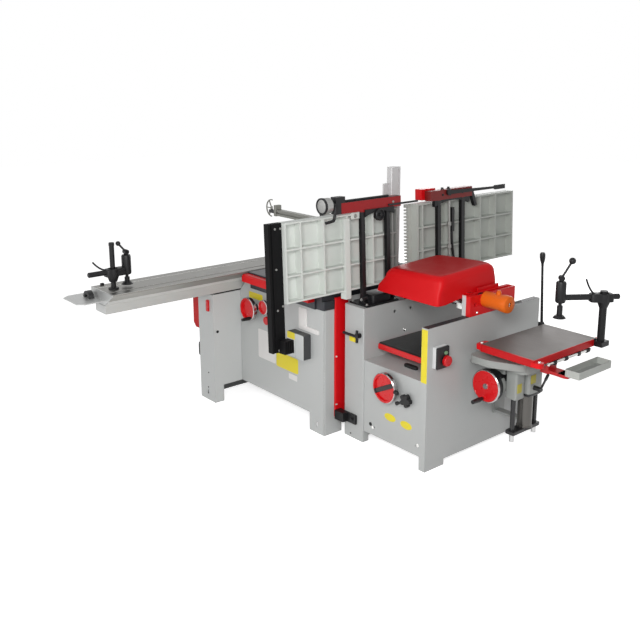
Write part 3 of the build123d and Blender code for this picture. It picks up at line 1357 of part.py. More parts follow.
# Upright feed lever of the mortiser.
with BuildPart(datum) as mort_lever:
    lever_z = slide_top + 20
    rod_y(lever_x, lever_z, 15, lever_y - 6 + slide_gap, lever_y + 12)
    with Locations(Location((lever_x, lever_y + 4, lever_z), (4, 0, 0))):
        Cylinder(8, lever_top - lever_z - 80, align=(Align.CENTER, Align.CENTER, Align.MIN))
        with Locations((0, 0, lever_top - lever_z - 110)):
            Cone(12, 15, 110, align=(Align.CENTER, Align.CENTER, Align.MIN))
    rod_y(lever_x, lever_z, 6 + run_gap, lever_y - 20, lever_y + 20, Mode.SUBTRACT)
save(mort_lever, "mortiser_lever")
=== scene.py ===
import math

import bpy
import numpy as np
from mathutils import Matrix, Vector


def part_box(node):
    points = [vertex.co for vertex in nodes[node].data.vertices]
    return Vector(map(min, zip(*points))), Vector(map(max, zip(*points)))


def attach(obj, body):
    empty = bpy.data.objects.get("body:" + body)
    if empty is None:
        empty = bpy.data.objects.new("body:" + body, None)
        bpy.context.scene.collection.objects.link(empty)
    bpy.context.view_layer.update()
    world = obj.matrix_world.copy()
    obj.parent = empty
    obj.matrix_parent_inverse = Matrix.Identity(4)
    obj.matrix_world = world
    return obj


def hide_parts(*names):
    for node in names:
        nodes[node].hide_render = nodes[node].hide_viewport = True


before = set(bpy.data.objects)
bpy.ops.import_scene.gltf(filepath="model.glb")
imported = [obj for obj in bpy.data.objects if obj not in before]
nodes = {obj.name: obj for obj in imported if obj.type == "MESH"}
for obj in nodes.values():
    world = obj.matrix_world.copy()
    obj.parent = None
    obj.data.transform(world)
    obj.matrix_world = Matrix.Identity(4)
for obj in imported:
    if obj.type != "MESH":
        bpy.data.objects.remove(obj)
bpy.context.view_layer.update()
print("frame loaded:", len(nodes), "nodes")

# Machine datum, from the frame: inner face and front edge of the planer's left wall, and the floor.
wallLow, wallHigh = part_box("planer_left_wall")
datumX, datumY = wallHigh.x, wallLow.y


def at(x, y, z):  # a place given in millimetres from the machine datum, in the frame's metres
    return np.array((datumX + x / 1000, datumY + y / 1000, z / 1000))


def tone(red, green, blue):  # a colour as seen on a screen, 0 to 255, as linear light
    seen = np.array((red, green, blue)) / 255
    linear = np.where(seen <= 0.04045, seen / 12.92, ((seen + 0.055) / 1.055) ** 2.4)
    return (*linear.tolist(), 1.0)


# Shader helpers.
def feed(tree, socket, value):  # a link where the value comes from another node, else a fixed value
    if isinstance(value, bpy.types.NodeSocket):
        tree.links.new(value, socket)
    else:
        socket.default_value = value


def addNode(tree, kind, inputs=None, **settings):
    made = tree.nodes.new("ShaderNode" + kind)
    for key, value in settings.items():
        setattr(made, key, value)
    for key, value in (inputs or {}).items():
        feed(tree, made.inputs[key], value)
    return made


def mixColor(tree, factor, first, second):
    return addNode(tree, "Mix", {0: factor, 6: first, 7: second}, data_type="RGBA").outputs[2]


def mixValue(tree, factor, first, second):
    return addNode(tree, "Mix", {0: factor, 2: first, 3: second}, data_type="FLOAT").outputs[0]


def calc(tree, operation, first, second=0.0, clamp=False):
    return addNode(tree, "Math", {0: first, 1: second}, operation=operation, use_clamp=clamp).outputs[0]


def vectorMath(tree, operation, first, second=(0, 0, 0), output="Vector"):
    return addNode(tree, "VectorMath", {0: first, 1: second}, operation=operation).outputs[output]


def pieceCoords(tree):
    return addNode(tree, "TexCoord").outputs["Object"]


def noise(tree, coords, scale, detail=2.0, rough=0.5):
    made = addNode(tree, "TexNoise", {"Vector": coords, "Scale": scale, "Detail": detail, "Roughness": rough})
    return made.outputs["Fac"]


def shareOf(tree, first, share, second):  # share * first + (1 - share) * second
    return calc(tree, "ADD", calc(tree, "MULTIPLY", first, share), calc(tree, "MULTIPLY", second, 1 - share))


def swing(tree, value, amount):  # a value from 0 to 1 as a swing about zero
    return calc(tree, "MULTIPLY", calc(tree, "SUBTRACT", value, 0.5), amount)


def mottle(tree, value, grime):  # 1 - grime + 2 * value * grime
    doubled = calc(tree, "MULTIPLY", value, 2.0)
    return calc(tree, "ADD", calc(tree, "SUBTRACT", 1.0, grime), calc(tree, "MULTIPLY", doubled, grime))


def newGroup(name, inputs, outputs):
    tree = bpy.data.node_groups.new(name, "ShaderNodeTree")
    for label, kind, value in inputs:
        socket = tree.interface.new_socket(label, in_out="INPUT", socket_type="NodeSocket" + kind)
        socket.default_value = value
    for label, kind in outputs:
        tree.interface.new_socket(label, in_out="OUTPUT", socket_type="NodeSocket" + kind)
    return tree, tree.nodes.new("NodeGroupInput").outputs, tree.nodes.new("NodeGroupOutput").inputs


white = (1.0, 1.0, 1.0, 1.0)


# Soft edges: the normal rounded over a radius, and a broken mask of where the edges are.
def makeEdgeGroup():
    outputs = [("Normal", "Vector"), ("Edge", "Float")]
    tree, given, out = newGroup("edgeLook", [("Radius", "Float", 0.002)], outputs)
    rounded = addNode(tree, "Bevel", {"Radius": given["Radius"]}, samples=4).outputs["Normal"]
    plain = addNode(tree, "NewGeometry").outputs["Normal"]
    same = vectorMath(tree, "DOT_PRODUCT", rounded, plain, "Value")
    bend = calc(tree, "MULTIPLY", calc(tree, "SUBTRACT", 1.0, same), 5.0, clamp=True)
    grain = noise(tree, pieceCoords(tree), 55.0, 4.0, 0.7)
    broken = calc(tree, "SUBTRACT", calc(tree, "MULTIPLY", grain, 3.0), 1.2, clamp=True)
    tree.links.new(rounded, out["Normal"])
    tree.links.new(calc(tree, "MULTIPLY", bend, broken), out["Edge"])
    return tree


# Every skin takes a colour, a roughness and how grimy it is, and gives colour, roughness and relief.
def newSkin(name, extra=()):
    inputs = [("Color", "Color", white), ("Rough", "Float", 0.4), ("Grime", "Float", 0.1), *extra]
    return newGroup(name, inputs, [("Color", "Color"), ("Roughness", "Float"), ("Height", "Float")])


def closeSkin(tree, given, out, shade, rub, height):
    scaled = addNode(tree, "VectorMath", {0: given["Color"], "Scale": shade}, operation="SCALE")
    tree.links.new(scaled.outputs["Vector"], out["Color"])
    tree.links.new(calc(tree, "ADD", given["Rough"], rub, clamp=True), out["Roughness"])
    tree.links.new(height, out["Height"])
    return tree


# Powder coat: fine orange peel, cloudy tone and rubbed patches.
def makePaintGroup():
    tree, given, out = newSkin("paintSkin")
    coords = pieceCoords(tree)
    cloud = noise(tree, coords, 2.4, 4.0, 0.6)
    speck = noise(tree, coords, 38.0, 3.0, 0.7)
    dull = calc(tree, "MULTIPLY", shareOf(tree, cloud, 0.7, speck), given["Grime"])
    full = calc(tree, "ADD", 1.0, calc(tree, "MULTIPLY", given["Grime"], 0.5))
    rub = swing(tree, noise(tree, coords, 11.0, 5.0, 0.65), 0.22)
    peel = noise(tree, coords, 420.0, 1.0)
    return closeSkin(tree, given, out, calc(tree, "SUBTRACT", full, dull), rub, peel)


# Rough casting: coarse grains under the paint or on bare iron.
def makeCastGroup():
    tree, given, out = newSkin("castSkin")
    coords = pieceCoords(tree)
    shade = mottle(tree, noise(tree, coords, 6.0, 5.0, 0.65), given["Grime"])
    grains = addNode(tree, "TexVoronoi", {"Vector": coords, "Scale": 240.0}, feature="SMOOTH_F1")
    coarse = calc(tree, "MULTIPLY", grains.outputs["Distance"], 0.6)
    height = calc(tree, "ADD", coarse, noise(tree, coords, 110.0, 4.0, 0.6))
    rub = swing(tree, noise(tree, coords, 19.0, 4.0, 0.6), 0.2)
    return closeSkin(tree, given, out, shade, rub, height)


# Drawn or ground metal: long streaks, set by how much each axis is stretched.
def makeStreakGroup():
    tree, given, out = newSkin("streakSkin", [("Stretch", "Vector", (60.0, 2.0, 60.0))])
    coords = pieceCoords(tree)
    streak = noise(tree, vectorMath(tree, "MULTIPLY", coords, given["Stretch"]), 5.0, 5.0, 0.7)
    both = shareOf(tree, streak, 0.65, noise(tree, coords, 7.0, 4.0, 0.6))
    return closeSkin(tree, given, out, mottle(tree, both, given["Grime"]), swing(tree, both, 0.5), streak)


# Every mask gives 1 inside a region of the piece and 0 outside it.
def newMask(name, inputs):
    tree, given, out = newGroup(name, inputs, [("Inside", "Float")])
    return tree, given, out["Inside"]


def fromCentre(tree, given):
    return vectorMath(tree, "SUBTRACT", pieceCoords(tree), given["Centre"])


# Inside of an upright box: the largest distance past its faces is below zero.
def makeBoxMask():
    tree, given, inside = newMask("boxMask", [("Centre", "Vector", (0, 0, 0)), ("Half", "Vector", (1, 1, 1))])
    size = vectorMath(tree, "ABSOLUTE", fromCentre(tree, given))
    past = addNode(tree, "SeparateXYZ", {0: vectorMath(tree, "SUBTRACT", size, given["Half"])}).outputs
    worst = calc(tree, "MAXIMUM", calc(tree, "MAXIMUM", past["X"], past["Y"]), past["Z"])
    tree.links.new(calc(tree, "LESS_THAN", worst, 0.0), inside)
    return tree


# Ring about a line along Y: the distance from the line lies between two radii.
def makeRingMask():
    tree, given, inside = newMask(
        "ringMask", [("Centre", "Vector", (0, 0, 0)), ("Inner", "Float", 0.0), ("Outer", "Float", 0.1)])
    flat = vectorMath(tree, "MULTIPLY", fromCentre(tree, given), (1, 0, 1))
    reach = vectorMath(tree, "LENGTH", flat, output="Value")
    beyond = calc(tree, "GREATER_THAN", reach, given["Inner"])
    within = calc(tree, "LESS_THAN", reach, given["Outer"])
    tree.links.new(calc(tree, "MULTIPLY", beyond, within), inside)
    return tree


# Faces turned towards a direction of the piece.
def makeFacingMask():
    tree, given, inside = newMask("facingMask", [("Direction", "Vector", (0, 0, 1)), ("Limit", "Float", 0.7)])
    normal = addNode(tree, "TexCoord").outputs["Normal"]
    towards = vectorMath(tree, "DOT_PRODUCT", normal, given["Direction"], "Value")
    tree.links.new(calc(tree, "GREATER_THAN", towards, given["Limit"]), inside)
    return tree


# Between two planes: the distance from a plane through the centre stays under half the thickness.
def makeSlabMask():
    tree, given, inside = newMask("slabMask", [
        ("Centre", "Vector", (0, 0, 0)), ("Direction", "Vector", (0, 0, 1)), ("Half", "Float", 0.01)])
    along = vectorMath(tree, "DOT_PRODUCT", fromCentre(tree, given), given["Direction"], "Value")
    tree.links.new(calc(tree, "LESS_THAN", calc(tree, "ABSOLUTE", along), given["Half"]), inside)
    return tree


groups = {
    "edge": makeEdgeGroup(), "paint": makePaintGroup(), "cast": makeCastGroup(), "streak": makeStreakGroup(),
    "box": makeBoxMask(), "ring": makeRingMask(), "facing": makeFacingMask(), "slab": makeSlabMask(),
}
print("shader groups:", len(groups))


def placeGroup(tree, key, inputs):
    return addNode(tree, "Group", inputs, node_tree=groups[key]).outputs


def zoneMask(tree, zone):  # where a zone lies: in a box, a ring or a slab, and on faces turned one way
    regions = []
    if "low" in zone:
        low, high = at(*zone["low"]), at(*zone["high"])
        regions.append(("box", {"Centre": (low + high) / 2, "Half": (high - low) / 2}))
    if "ring" in zone:
        x, z, inner, outer = zone["ring"]
        regions.append(("ring", {"Centre": at(x, 0, z), "Inner": inner / 1000, "Outer": outer / 1000}))
    if "slab" in zone:
        centre, direction, half = zone["slab"]
        regions.append(("slab", {"Centre": at(*centre), "Direction": direction, "Half": half / 1000}))
    if "facing" in zone:
        regions.append(("facing", {"Direction": zone["facing"], "Limit": zone.get("limit", 0.7)}))
    mask = 1.0
    for key, inputs in regions:
        mask = calc(tree, "MULTIPLY", mask, placeGroup(tree, key, inputs)["Inside"])
    return mask


# What a finish has where it says nothing else; the edge's radius is in millimetres.
usualLook = {"metal": 0.0, "grime": 0.08, "edge": 1.5, "wear": 0.25, "wornColor": tone(150, 150, 150),
             "bump": 0.15, "relief": 0.0006, "specular": 0.5, "zones": ()}


# One finish: a skin group for tone, roughness and height, soft worn edges, and zones of other colours.
def makeFinish(name, ownLook):
    look = {**usualLook, **ownLook}
    material = bpy.data.materials.new(name)
    material.use_nodes = True
    tree = material.node_tree
    color, rough, metal = look["color"], look["rough"], look["metal"]
    for zone in look["zones"]:
        mask = zoneMask(tree, zone)
        color = mixColor(tree, mask, color, zone["color"])
        rough = mixValue(tree, mask, rough, zone["rough"])
        metal = mixValue(tree, mask, metal, zone.get("metal", 0.0))
    values = {"Color": color, "Rough": rough, "Grime": look["grime"]}
    if look["skin"] == "streak":
        values["Stretch"] = look["stretch"]
    skin = placeGroup(tree, look["skin"], values)
    edge = placeGroup(tree, "edge", {"Radius": look["edge"] / 1000})
    worn = calc(tree, "MULTIPLY", edge["Edge"], look["wear"])
    bump = addNode(tree, "Bump", {"Strength": look["bump"], "Distance": look["relief"],
                                  "Height": skin["Height"], "Normal": edge["Normal"]})
    shader = {"Base Color": mixColor(tree, worn, skin["Color"], look["wornColor"]),
              "Roughness": skin["Roughness"], "Metallic": metal, "Normal": bump.outputs["Normal"],
              "Specular IOR Level": look["specular"]}
    for label, value in shader.items():
        feed(tree, tree.nodes["Principled BSDF"].inputs[label], value)
    return material


# Colours of the machine, as seen in even light.
lightGrey = tone(184, 186, 185)
planerGrey = tone(179, 181, 180)
signalRed = tone(206, 10, 18)
slideRed = tone(184, 10, 16)
beamRed = tone(150, 14, 20)
deepBlack = tone(22, 22, 24)
ironTone = tone(112, 113, 112)
steelTone = tone(190, 190, 190)
chromeTone = tone(172, 168, 168)
far = 4000  # past every face of the machine
wheelX, wheelZ = 632, 458  # axis of the mortiser's handwheel

# Frame of a raised planer table: u from the hinge to the free edge, w from the hinge to the working side.
tableFrame = {"x": -70, "z": 826, "lean": math.radians(2.4)}
leanSin, leanCos = math.sin(tableFrame["lean"]), math.cos(tableFrame["lean"])
tableUp = (-leanSin, 0, leanCos)
tableUnder = (leanCos, 0, leanSin)  # out of the ribbed side


def onTable(u, y, w):  # a place on a raised table, from the machine datum
    return (tableFrame["x"] - u * leanSin - w * leanCos, y, tableFrame["z"] + u * leanCos - w * leanSin)


# Directions of the machine, and its faces as the two directions that lie in them.
right, rear, up, front = (1, 0, 0), (0, 1, 0), (0, 0, 1), (0, -1, 0)
frontFace, sideFace, topFace, leftFace = (right, up), (rear, up), (right, rear), (up, rear)


# A finish is its skin, colour and roughness, and what else differs from the usual look.
def paint(color, rough, **more):
    return {"skin": "paint", "color": color, "rough": rough, **more}


def cast(color, rough, **more):
    return {"skin": "cast", "color": color, "rough": rough, **more}


def streaked(color, rough, stretch, **more):
    return {"skin": "streak", "color": color, "rough": rough, "stretch": stretch, **more}


def patch(color, rough, low=None, high=None, **more):  # a zone of a finish, in a box if it has two corners
    box = {"low": low, "high": high} if low else {}
    return {"color": color, "rough": rough, **box, **more}


finishes = {
    "greyPaint": paint(planerGrey, 0.42, edge=2.0),
    "rightWallPaint": paint(planerGrey, 0.42, edge=2.0, zones=[
        patch(tone(40, 40, 42), 0.5, (400, -far, 780), (far, far, far), facing=up)]),
    "cabinetPaint": paint(lightGrey, 0.42, edge=7.0, wear=0.05, zones=[
        patch(tone(176, 8, 14), 0.7, (-far, -far, 440), (-1206, -200, 700)),
        # Faces turned right on the front leg are painted lighter than the cabinet's grey: painted light on
        # the leg's side.
        patch(tone(201, 203, 202), 0.42, (-far, -far, -far), (-700, -122, far), facing=right, limit=0.9)]),
    "redPaint": paint(tone(214, 14, 22), 0.36, specular=0.22, edge=2.5, wornColor=tone(190, 60, 60)),
    "hoodPaint": paint(signalRed, 0.45, specular=0.22, edge=3.0, wear=0.0, zones=[
        # The hood's top is painted a darker red than its sides: painted shade on the top.
        patch(tone(176, 12, 18), 0.42, facing=up, limit=0.9)]),
    "blackPaint": paint(deepBlack, 0.45, specular=0.3, edge=1.0, wornColor=tone(90, 90, 92)),
    "blackRail": streaked(
        tone(15, 15, 16), 0.6, (80.0, 80.0, 1.5), specular=0.1, edge=1.0, grime=0.15, bump=0.05,
        wornColor=tone(110, 110, 112)),
    # Dark grey sheet: painted shade, standing in for the shaded lower inside of the saw's leg.
    "paintedShadeSheet": paint(tone(72, 74, 73), 0.5, edge=1.0, wear=0.1),
    "blackPlastic": cast(tone(26, 26, 27), 0.5, specular=0.3, edge=1.0, bump=0.08, wear=0.1),
    "orangePaint": paint(tone(224, 104, 22), 0.42, specular=0.25, edge=3.0, wornColor=tone(240, 160, 90)),
    "redPlastic": paint(tone(196, 14, 22), 0.28, specular=0.4, wear=0.1),
    "greenPlastic": paint(tone(120, 160, 120), 0.3, wear=0.1),
    "palePlastic": cast(tone(198, 201, 200), 0.45, bump=0.05, wear=0.1, zones=[
        patch(tone(60, 62, 64), 0.45, facing=right),
        patch(tone(70, 72, 72), 0.45, facing=up)]),
    "drawnAluminium": streaked(
        tone(222, 222, 219), 0.45, (70.0, 1.2, 70.0), grime=0.16, bump=0.06, wear=0.3,
        wornColor=tone(215, 215, 215), zones=[
            patch(tone(128, 127, 123), 0.38, facing=up, metal=0.85),
            patch(tone(150, 148, 143), 0.4, (-1040, -far, 812), (far, far, 862), metal=0.5)]),
    "endPlate": streaked(
        tone(186, 187, 186), 0.42, (3.0, 50.0, 50.0), metal=0.6, grime=0.12, bump=0.05, zones=[
            patch(deepBlack, 0.45, (-1205, -1104, 812.5), (-1098, -1066, 880))]),
    "railAluminium": streaked(
        tone(190, 190, 187), 0.42, (70.0, 1.2, 70.0), metal=0.15, grime=0.18, bump=0.06, zones=[
            patch(deepBlack, 0.5, (-far, -far, 0), (far, far, 728))]),
    "fenceAluminium": streaked(
        tone(132, 132, 126), 0.4, (1.2, 70.0, 70.0), metal=0.6, grime=0.15, bump=0.06, zones=[
            patch(deepBlack, 0.4, (-2378, 1092, 916), (-2291, 1128, 946)),
            patch(deepBlack, 0.4, (-1702, 1092, 972), (-1641, 1128, 1001))]),
    "guardAluminium": streaked(
        tone(200, 199, 199), 0.45, (70.0, 70.0, 1.2), metal=0.3, grime=0.12, bump=0.05),
    "groundIron": streaked(ironTone, 0.34, (3.0, 60.0, 60.0), metal=1.0, grime=0.2, bump=0.05),
    "sawTableIron": streaked(
        tone(60, 62, 66), 0.4, (3.0, 60.0, 60.0), metal=0.6, grime=0.2, bump=0.05, zones=[
            patch(tone(38, 40, 46), 0.5, (-far, -far, 0), (far, -110, 816))]),
    "steel": streaked(steelTone, 0.24, (40.0, 40.0, 3.0), metal=1.0, grime=0.12, bump=0.04),
    "boltZinc": streaked(
        tone(214, 214, 212), 0.26, (30.0, 30.0, 30.0), metal=1.0, grime=0.15, bump=0.04, edge=0.5),
    "boltDull": streaked(
        tone(150, 150, 147), 0.4, (30.0, 30.0, 30.0), metal=0.5, grime=0.15, bump=0.04, edge=0.5),
    "infeedPaint": cast(tone(211, 215, 210), 0.5, edge=3.0, bump=0.1, grime=0.05, zones=[
        # The infeed table's rear part, from y 287 back, is painted darker: painted shade on its sloped lip.
        patch(tone(138, 139, 136), 0.5, (-far, 287, 0), (far, far, far)),
        patch(ironTone, 0.3, facing=(-1, 0, 0), limit=0.9, metal=1.0)]),
    # The outfeed table's grey is a darker copy of the infeed's: painted shade on the table further back.
    "outfeedShadedPaint": cast(tone(186, 190, 184), 0.5, edge=3.0, bump=0.1, grime=0.05, zones=[
        patch(ironTone, 0.3, facing=(-1, 0, 0), limit=0.9, metal=1.0)]),
    "carrierPaint": paint(deepBlack, 0.42, specular=0.35, zones=[
        patch(beamRed, 0.35, (-far, -90, 1320), (-86.5, 363.5, 1384.5)),
        patch(tone(116, 26, 24), 0.4, (-far, 600, 1324), (far, 990.5, 1386))]),
    "castingPaint": cast(tone(148, 151, 148), 0.45, edge=4.0, bump=0.2, grime=0.1, zones=[
        patch(deepBlack, 0.45, (500, 330, 380), (690, 421, 540), ring=(wheelX, wheelZ, 0, 76)),
        patch(deepBlack, 0.45, (600, 440, 360), (900, 700, 419)),
        patch(deepBlack, 0.4, (799, 465, 430), (880, 590, 550))]),
    "standFinish": streaked(deepBlack, 0.4, (30.0, 30.0, 3.0), grime=0.15, bump=0.05, zones=[
        # The stand's wall plate and arm are painted in a darkened wall grey: painted shade of the wall behind
        # the mortiser, so that they blend into it.
        patch(tone(150, 152, 150), 0.42, (480, -far, 0), (652, far, far)),
        patch(tone(92, 90, 87), 0.3, (600, 452, 214.5), (far, 556, 600), metal=0.8),
        patch(steelTone, 0.3, (600, -far, 0), (far, far, 189), metal=1.0)]),
    "slideFinish": streaked(
        tone(140, 140, 138), 0.36, (3.0, 50.0, 50.0), metal=0.9, grime=0.15, bump=0.05, zones=[
            patch(slideRed, 0.45, (870, 400, 575), (1060, 520, 640.2)),
            patch(deepBlack, 0.45, (0, 650.5, 0), (650, far, far))]),
    "trayPaint": paint(tone(176, 179, 174), 0.45, edge=1.0, zones=[
        patch(tone(142, 144, 141), 0.5, facing=up)]),
    "mortiserTop": streaked(slideRed, 0.42, (2.5, 50.0, 50.0), grime=0.12, bump=0.03, specular=0.25, zones=[
        patch(tone(102, 97, 94), 0.5, (618, 252, 0), (952, 796, far), facing=up, metal=0.4),
        patch(deepBlack, 0.45, (945, 765, 0), (far, far, far))]),
    "bedFinish": streaked(signalRed, 0.35, (50.0, 2.0, 50.0), grime=0.15, bump=0.04, zones=[
        patch(tone(70, 70, 70), 0.35, facing=up, metal=0.8),
        patch(tone(150, 150, 150), 0.3, (-far, -far, 0), (far, far, 547), metal=1.0)]),
    "switchFinish": cast(tone(32, 33, 34), 0.45, specular=0.35, bump=0.05, zones=[
        patch(tone(214, 215, 215), 0.4, (0, -far, 0), (505, far, far))]),
    "bracketPaint": paint(tone(214, 18, 24), 0.36, specular=0.3, edge=2.0, zones=[
        patch(tone(206, 206, 206), 0.4, (0, -far, 0), (452, 327, far))]),
    "knobSilver": streaked(tone(160, 160, 158), 0.4, (30.0, 3.0, 30.0), metal=0.5, grime=0.4, bump=0.05),
    "plateYellow": paint(
        tone(226, 208, 40), 0.45, grime=0.1, edge=0.4, bump=0.04, wornColor=tone(236, 226, 150)),
    "plateWhite": paint(tone(222, 220, 218), 0.45, edge=0.4, bump=0.04, wornColor=tone(190, 190, 190)),
    "plateOlive": paint(tone(176, 166, 62), 0.5, grime=0.2, edge=0.4, bump=0.04),
}


# Handwheels: red disc, bright rim ring and dark back. The disc stands forward of the wheel's face by the cap.
def wheelLook(x, z, radius, faceY, extra=(), rim=4, back=27, cap=14):
    wide = 2 * radius
    return paint(deepBlack, 0.35, specular=0.4, wear=0.1, zones=[
        patch(tone(206, 12, 20), 0.28, (x - radius, faceY - cap, z - radius),
              (x + radius, faceY + 2, z + radius), ring=(x, z, 0, radius - rim)),
        patch(chromeTone, 0.18, (x - wide, faceY - cap - 1, z - wide), (x + wide, faceY + back, z + wide),
              ring=(x, z, radius - rim, wide), metal=1.0), *extra])


finishes["bedWheel"] = wheelLook(x=203, z=401, radius=85, faceY=-30, extra=[
    patch(tone(34, 26, 28), 0.4, (118, -44, 316), (288, -22, 486), ring=(203, 401, 0, 80),
          slab=((203, 0, 401), (-0.454, 0, 0.891), 13))])
finishes["sawWheel"] = wheelLook(x=-858, z=640, radius=74, faceY=-183)
finishes["spindleWheel"] = wheelLook(x=-735, z=672, radius=46, faceY=-157)
finishes["mortiserWheel"] = wheelLook(x=wheelX, z=wheelZ, radius=91, faceY=293, rim=7, back=6, extra=[
    patch(chromeTone, 0.2, (520, 280, 340), (740, 296, 580), ring=(wheelX, wheelZ, 0, 15), metal=1.0)])
materials = {name: makeFinish(name, look) for name, look in finishes.items()}
print("finishes:", len(materials))

nodeFinish = {
    "greyPaint": ["planer_left_wall", "planer_front_panel", "planer_base_frame"],
    "rightWallPaint": ["planer_right_wall"],
    "cabinetPaint": ["saw_cabinet"],
    "redPaint": ["saw_front_bar", "post_cover"],
    "blackPaint": ["tie_bracket", "tie_handle", "table_hinge_blocks", "planer_drive", "carriage_clamp_lever",
                   "outfeed_lock_lever", "carriage_clamp_spindle", "mortise_clamp_spindle"],
    "blackRail": ["fence_rail"],
    "blackPlastic": ["bed_lock_knob", "saw_drive"],
    "redPlastic": ["saw_stop_button", "planer_stop_button"],
    "greenPlastic": ["planer_start_button"],
    "palePlastic": ["saw_switch_box"],
    "drawnAluminium": ["carriage"],
    "endPlate": ["carriage_end_plate"],
    "railAluminium": ["carriage_rail"],
    "fenceAluminium": ["crosscut_fence", "outer_flip_stop", "inner_flip_stop"],
    "groundIron": ["saw_lift_unit"],
    "sawTableIron": ["saw_table"],
    "steel": ["saw_blade", "spindle_quill", "spindle_shaft", "cutterblock", "infeed_roller",
              "outfeed_roller"],
    "infeedPaint": ["infeed_table"],
    "outfeedShadedPaint": ["outfeed_table"],
    "carrierPaint": ["infeed_carrier", "outfeed_carrier"],
    "mortiserTop": ["mortiser_table"],
    "bedFinish": ["planer_bed"],
    "switchFinish": ["planer_switch"],
    "bracketPaint": ["bearing_bracket"],
    "bedWheel": ["bed_wheel"],
    "sawWheel": ["saw_wheel"],
    "spindleWheel": ["spindle_wheel"],
    "mortiserWheel": ["mortiser_wheel"],
}
for finish, names in nodeFinish.items():
    for name in names:
        mesh = nodes[name].data
        mesh.materials.clear()
        mesh.materials.append(materials[finish])
print("nodes dressed:", sum(len(names) for names in nodeFinish.values()), "of", len(nodes))


# Every form is rings of points, in millimetres from the datum, joined by four-sided faces and closed by a
# flat face at both ends, or, as a loop, by joining the last ring to the first.
def closeRings(rings, loop=False):
    count, around = rings.shape[:2]
    first = np.arange(count if loop else count - 1)[:, None] * around
    following = (first + around) % (count * around)
    here = np.arange(around)[None, :]
    after = (here + 1) % around
    sides = np.stack((first + here, first + after, following + after, following + here), axis=-1)
    faces = sides.reshape(-1, 4).tolist()
    if not loop:
        start = np.arange(around)[::-1]
        end = np.arange(around) + (count - 1) * around
        faces += [start.tolist(), end.tolist()]
    return at(0, 0, 0) + rings.reshape(-1, 3) / 1000, faces


def squareAxes(direction):  # two directions square to a given one, then that one
    along = np.array(direction, dtype=float)
    along /= np.linalg.norm(along)
    helper = np.array((0.0, 0.0, 1.0) if abs(along[2]) < 0.9 else (1.0, 0.0, 0.0))
    side = np.cross(helper, along)
    side /= np.linalg.norm(side)
    return side, np.cross(along, side), along


# Rounded outline of half size 1: |a|^n + |b|^n = 1, which is a circle at n = 2.
def roundedOutline(power, around):
    angle = (np.arange(around) + 0.5) * 2 * math.pi / around
    circle = np.stack((np.cos(angle), np.sin(angle)), axis=-1)
    return np.sign(circle) * np.abs(circle) ** (2 / power)


# Turned form: ring k has radius profile[k][0] at height profile[k][1]; six[k] = 1 makes it a hexagon.
def turned(place, direction, profile, around=24, loop=False, six=0.0):
    side, above, along = squareAxes(direction)
    radius, height = np.array(profile, dtype=float).T[:, :, None]
    angle = np.arange(around) * 2 * math.pi / around
    hexagon = math.cos(math.pi / 6) / np.cos(angle % (math.pi / 3) - math.pi / 6)
    reach = radius * (1 + np.array(six, dtype=float)[..., None] * (hexagon - 1))
    circle = np.cos(angle)[:, None] * side + np.sin(angle)[:, None] * above
    return closeRings(np.array(place) + reach[..., None] * circle + height[..., None] * along, loop)


# Upright block: rounded outlines drawn in by steps[k][0] at level steps[k][1], with a round bore if given.
def stacked(centre, half, steps, power=8, bore=None, around=64):
    inset, level = np.array(steps, dtype=float).T
    reach = np.array(half, dtype=float) - inset[:, None]
    flat = np.array(centre) + roundedOutline(power, around) * reach[:, None]
    if bore:
        x, y, radius = bore
        hole = np.array((x, y)) + roundedOutline(2, around) * radius
        flat = np.concatenate((flat, np.stack((hole, hole))))
        level = np.concatenate((level, level[[-1, 0]]))
    height = np.broadcast_to(level[:, None, None], (len(level), around, 1))
    return closeRings(np.concatenate((flat, height), axis=-1), bore is not None)


# Socket screw: domed head with a six-sided recess, its rings in shares of the radius and the height.
def socketScrew(place, direction, radius, height):
    return turned(place, direction, [
        (radius, -1), (radius, 0.55 * height), (0.88 * radius, 0.88 * height), (0.7 * radius, height),
        (0.52 * radius, height), (0.5 * radius, 0.45 * height)], six=(0, 0, 0, 0, 1, 1))


# Hexagon bolt on its washer, its rings in shares of the radius and the height.
def hexBolt(place, direction, radius, height):
    return turned(place, direction, [
        (1.45 * radius, -1), (1.45 * radius, 0.18 * height), (1.38 * radius, 0.24 * height),
        (1.02 * radius, 0.25 * height), (1.02 * radius, 0.86 * height), (0.86 * radius, height)],
        six=(0, 0, 0, 1, 1, 0.3))


def sized(face, wide, tall):  # the two directions of a face at their half sizes
    return np.array(face[0]) * wide, np.array(face[1]) * tall


# Plate or block on a face: a rounded outline, full at the face, drawn in over the edge at its front.
def plateOn(place, halves, thick, power=10, edge=0.5, around=64):
    across, along = (np.array(half, dtype=float) for half in halves)
    wide, tall = np.linalg.norm(across), np.linalg.norm(along)
    outward = np.cross(across, along) / (wide * tall)
    a, b = roundedOutline(power, around).T[:, None, :, None]
    turn = np.radians((0.0, 0.0, 30.0, 60.0, 90.0))[:, None, None]
    inset = edge * (1 - np.cos(turn))
    height = thick - edge + edge * np.sin(turn)
    height[0] = -0.4  # a little into the face
    rings = a * (wide - inset) * across / wide + b * (tall - inset) * along / tall + height * outward
    return closeRings(np.array(place) + rings)


# Tube: circles of the given radius square to the path at each of its points.
def tubeAlong(path, radius, around=16):
    ahead = np.gradient(np.array(path, dtype=float), axis=0)
    ahead /= np.linalg.norm(ahead, axis=1)[:, None]
    side = np.cross(ahead, np.array((1.0, 0.0, 0.0)))
    side /= np.linalg.norm(side, axis=1)[:, None]
    above = np.cross(ahead, side)
    angle = np.arange(around) * 2 * math.pi / around
    circle = np.cos(angle)[None, :, None] * side[:, None] + np.sin(angle)[None, :, None] * above[:, None]
    return closeRings(path[:, None] + radius * circle)


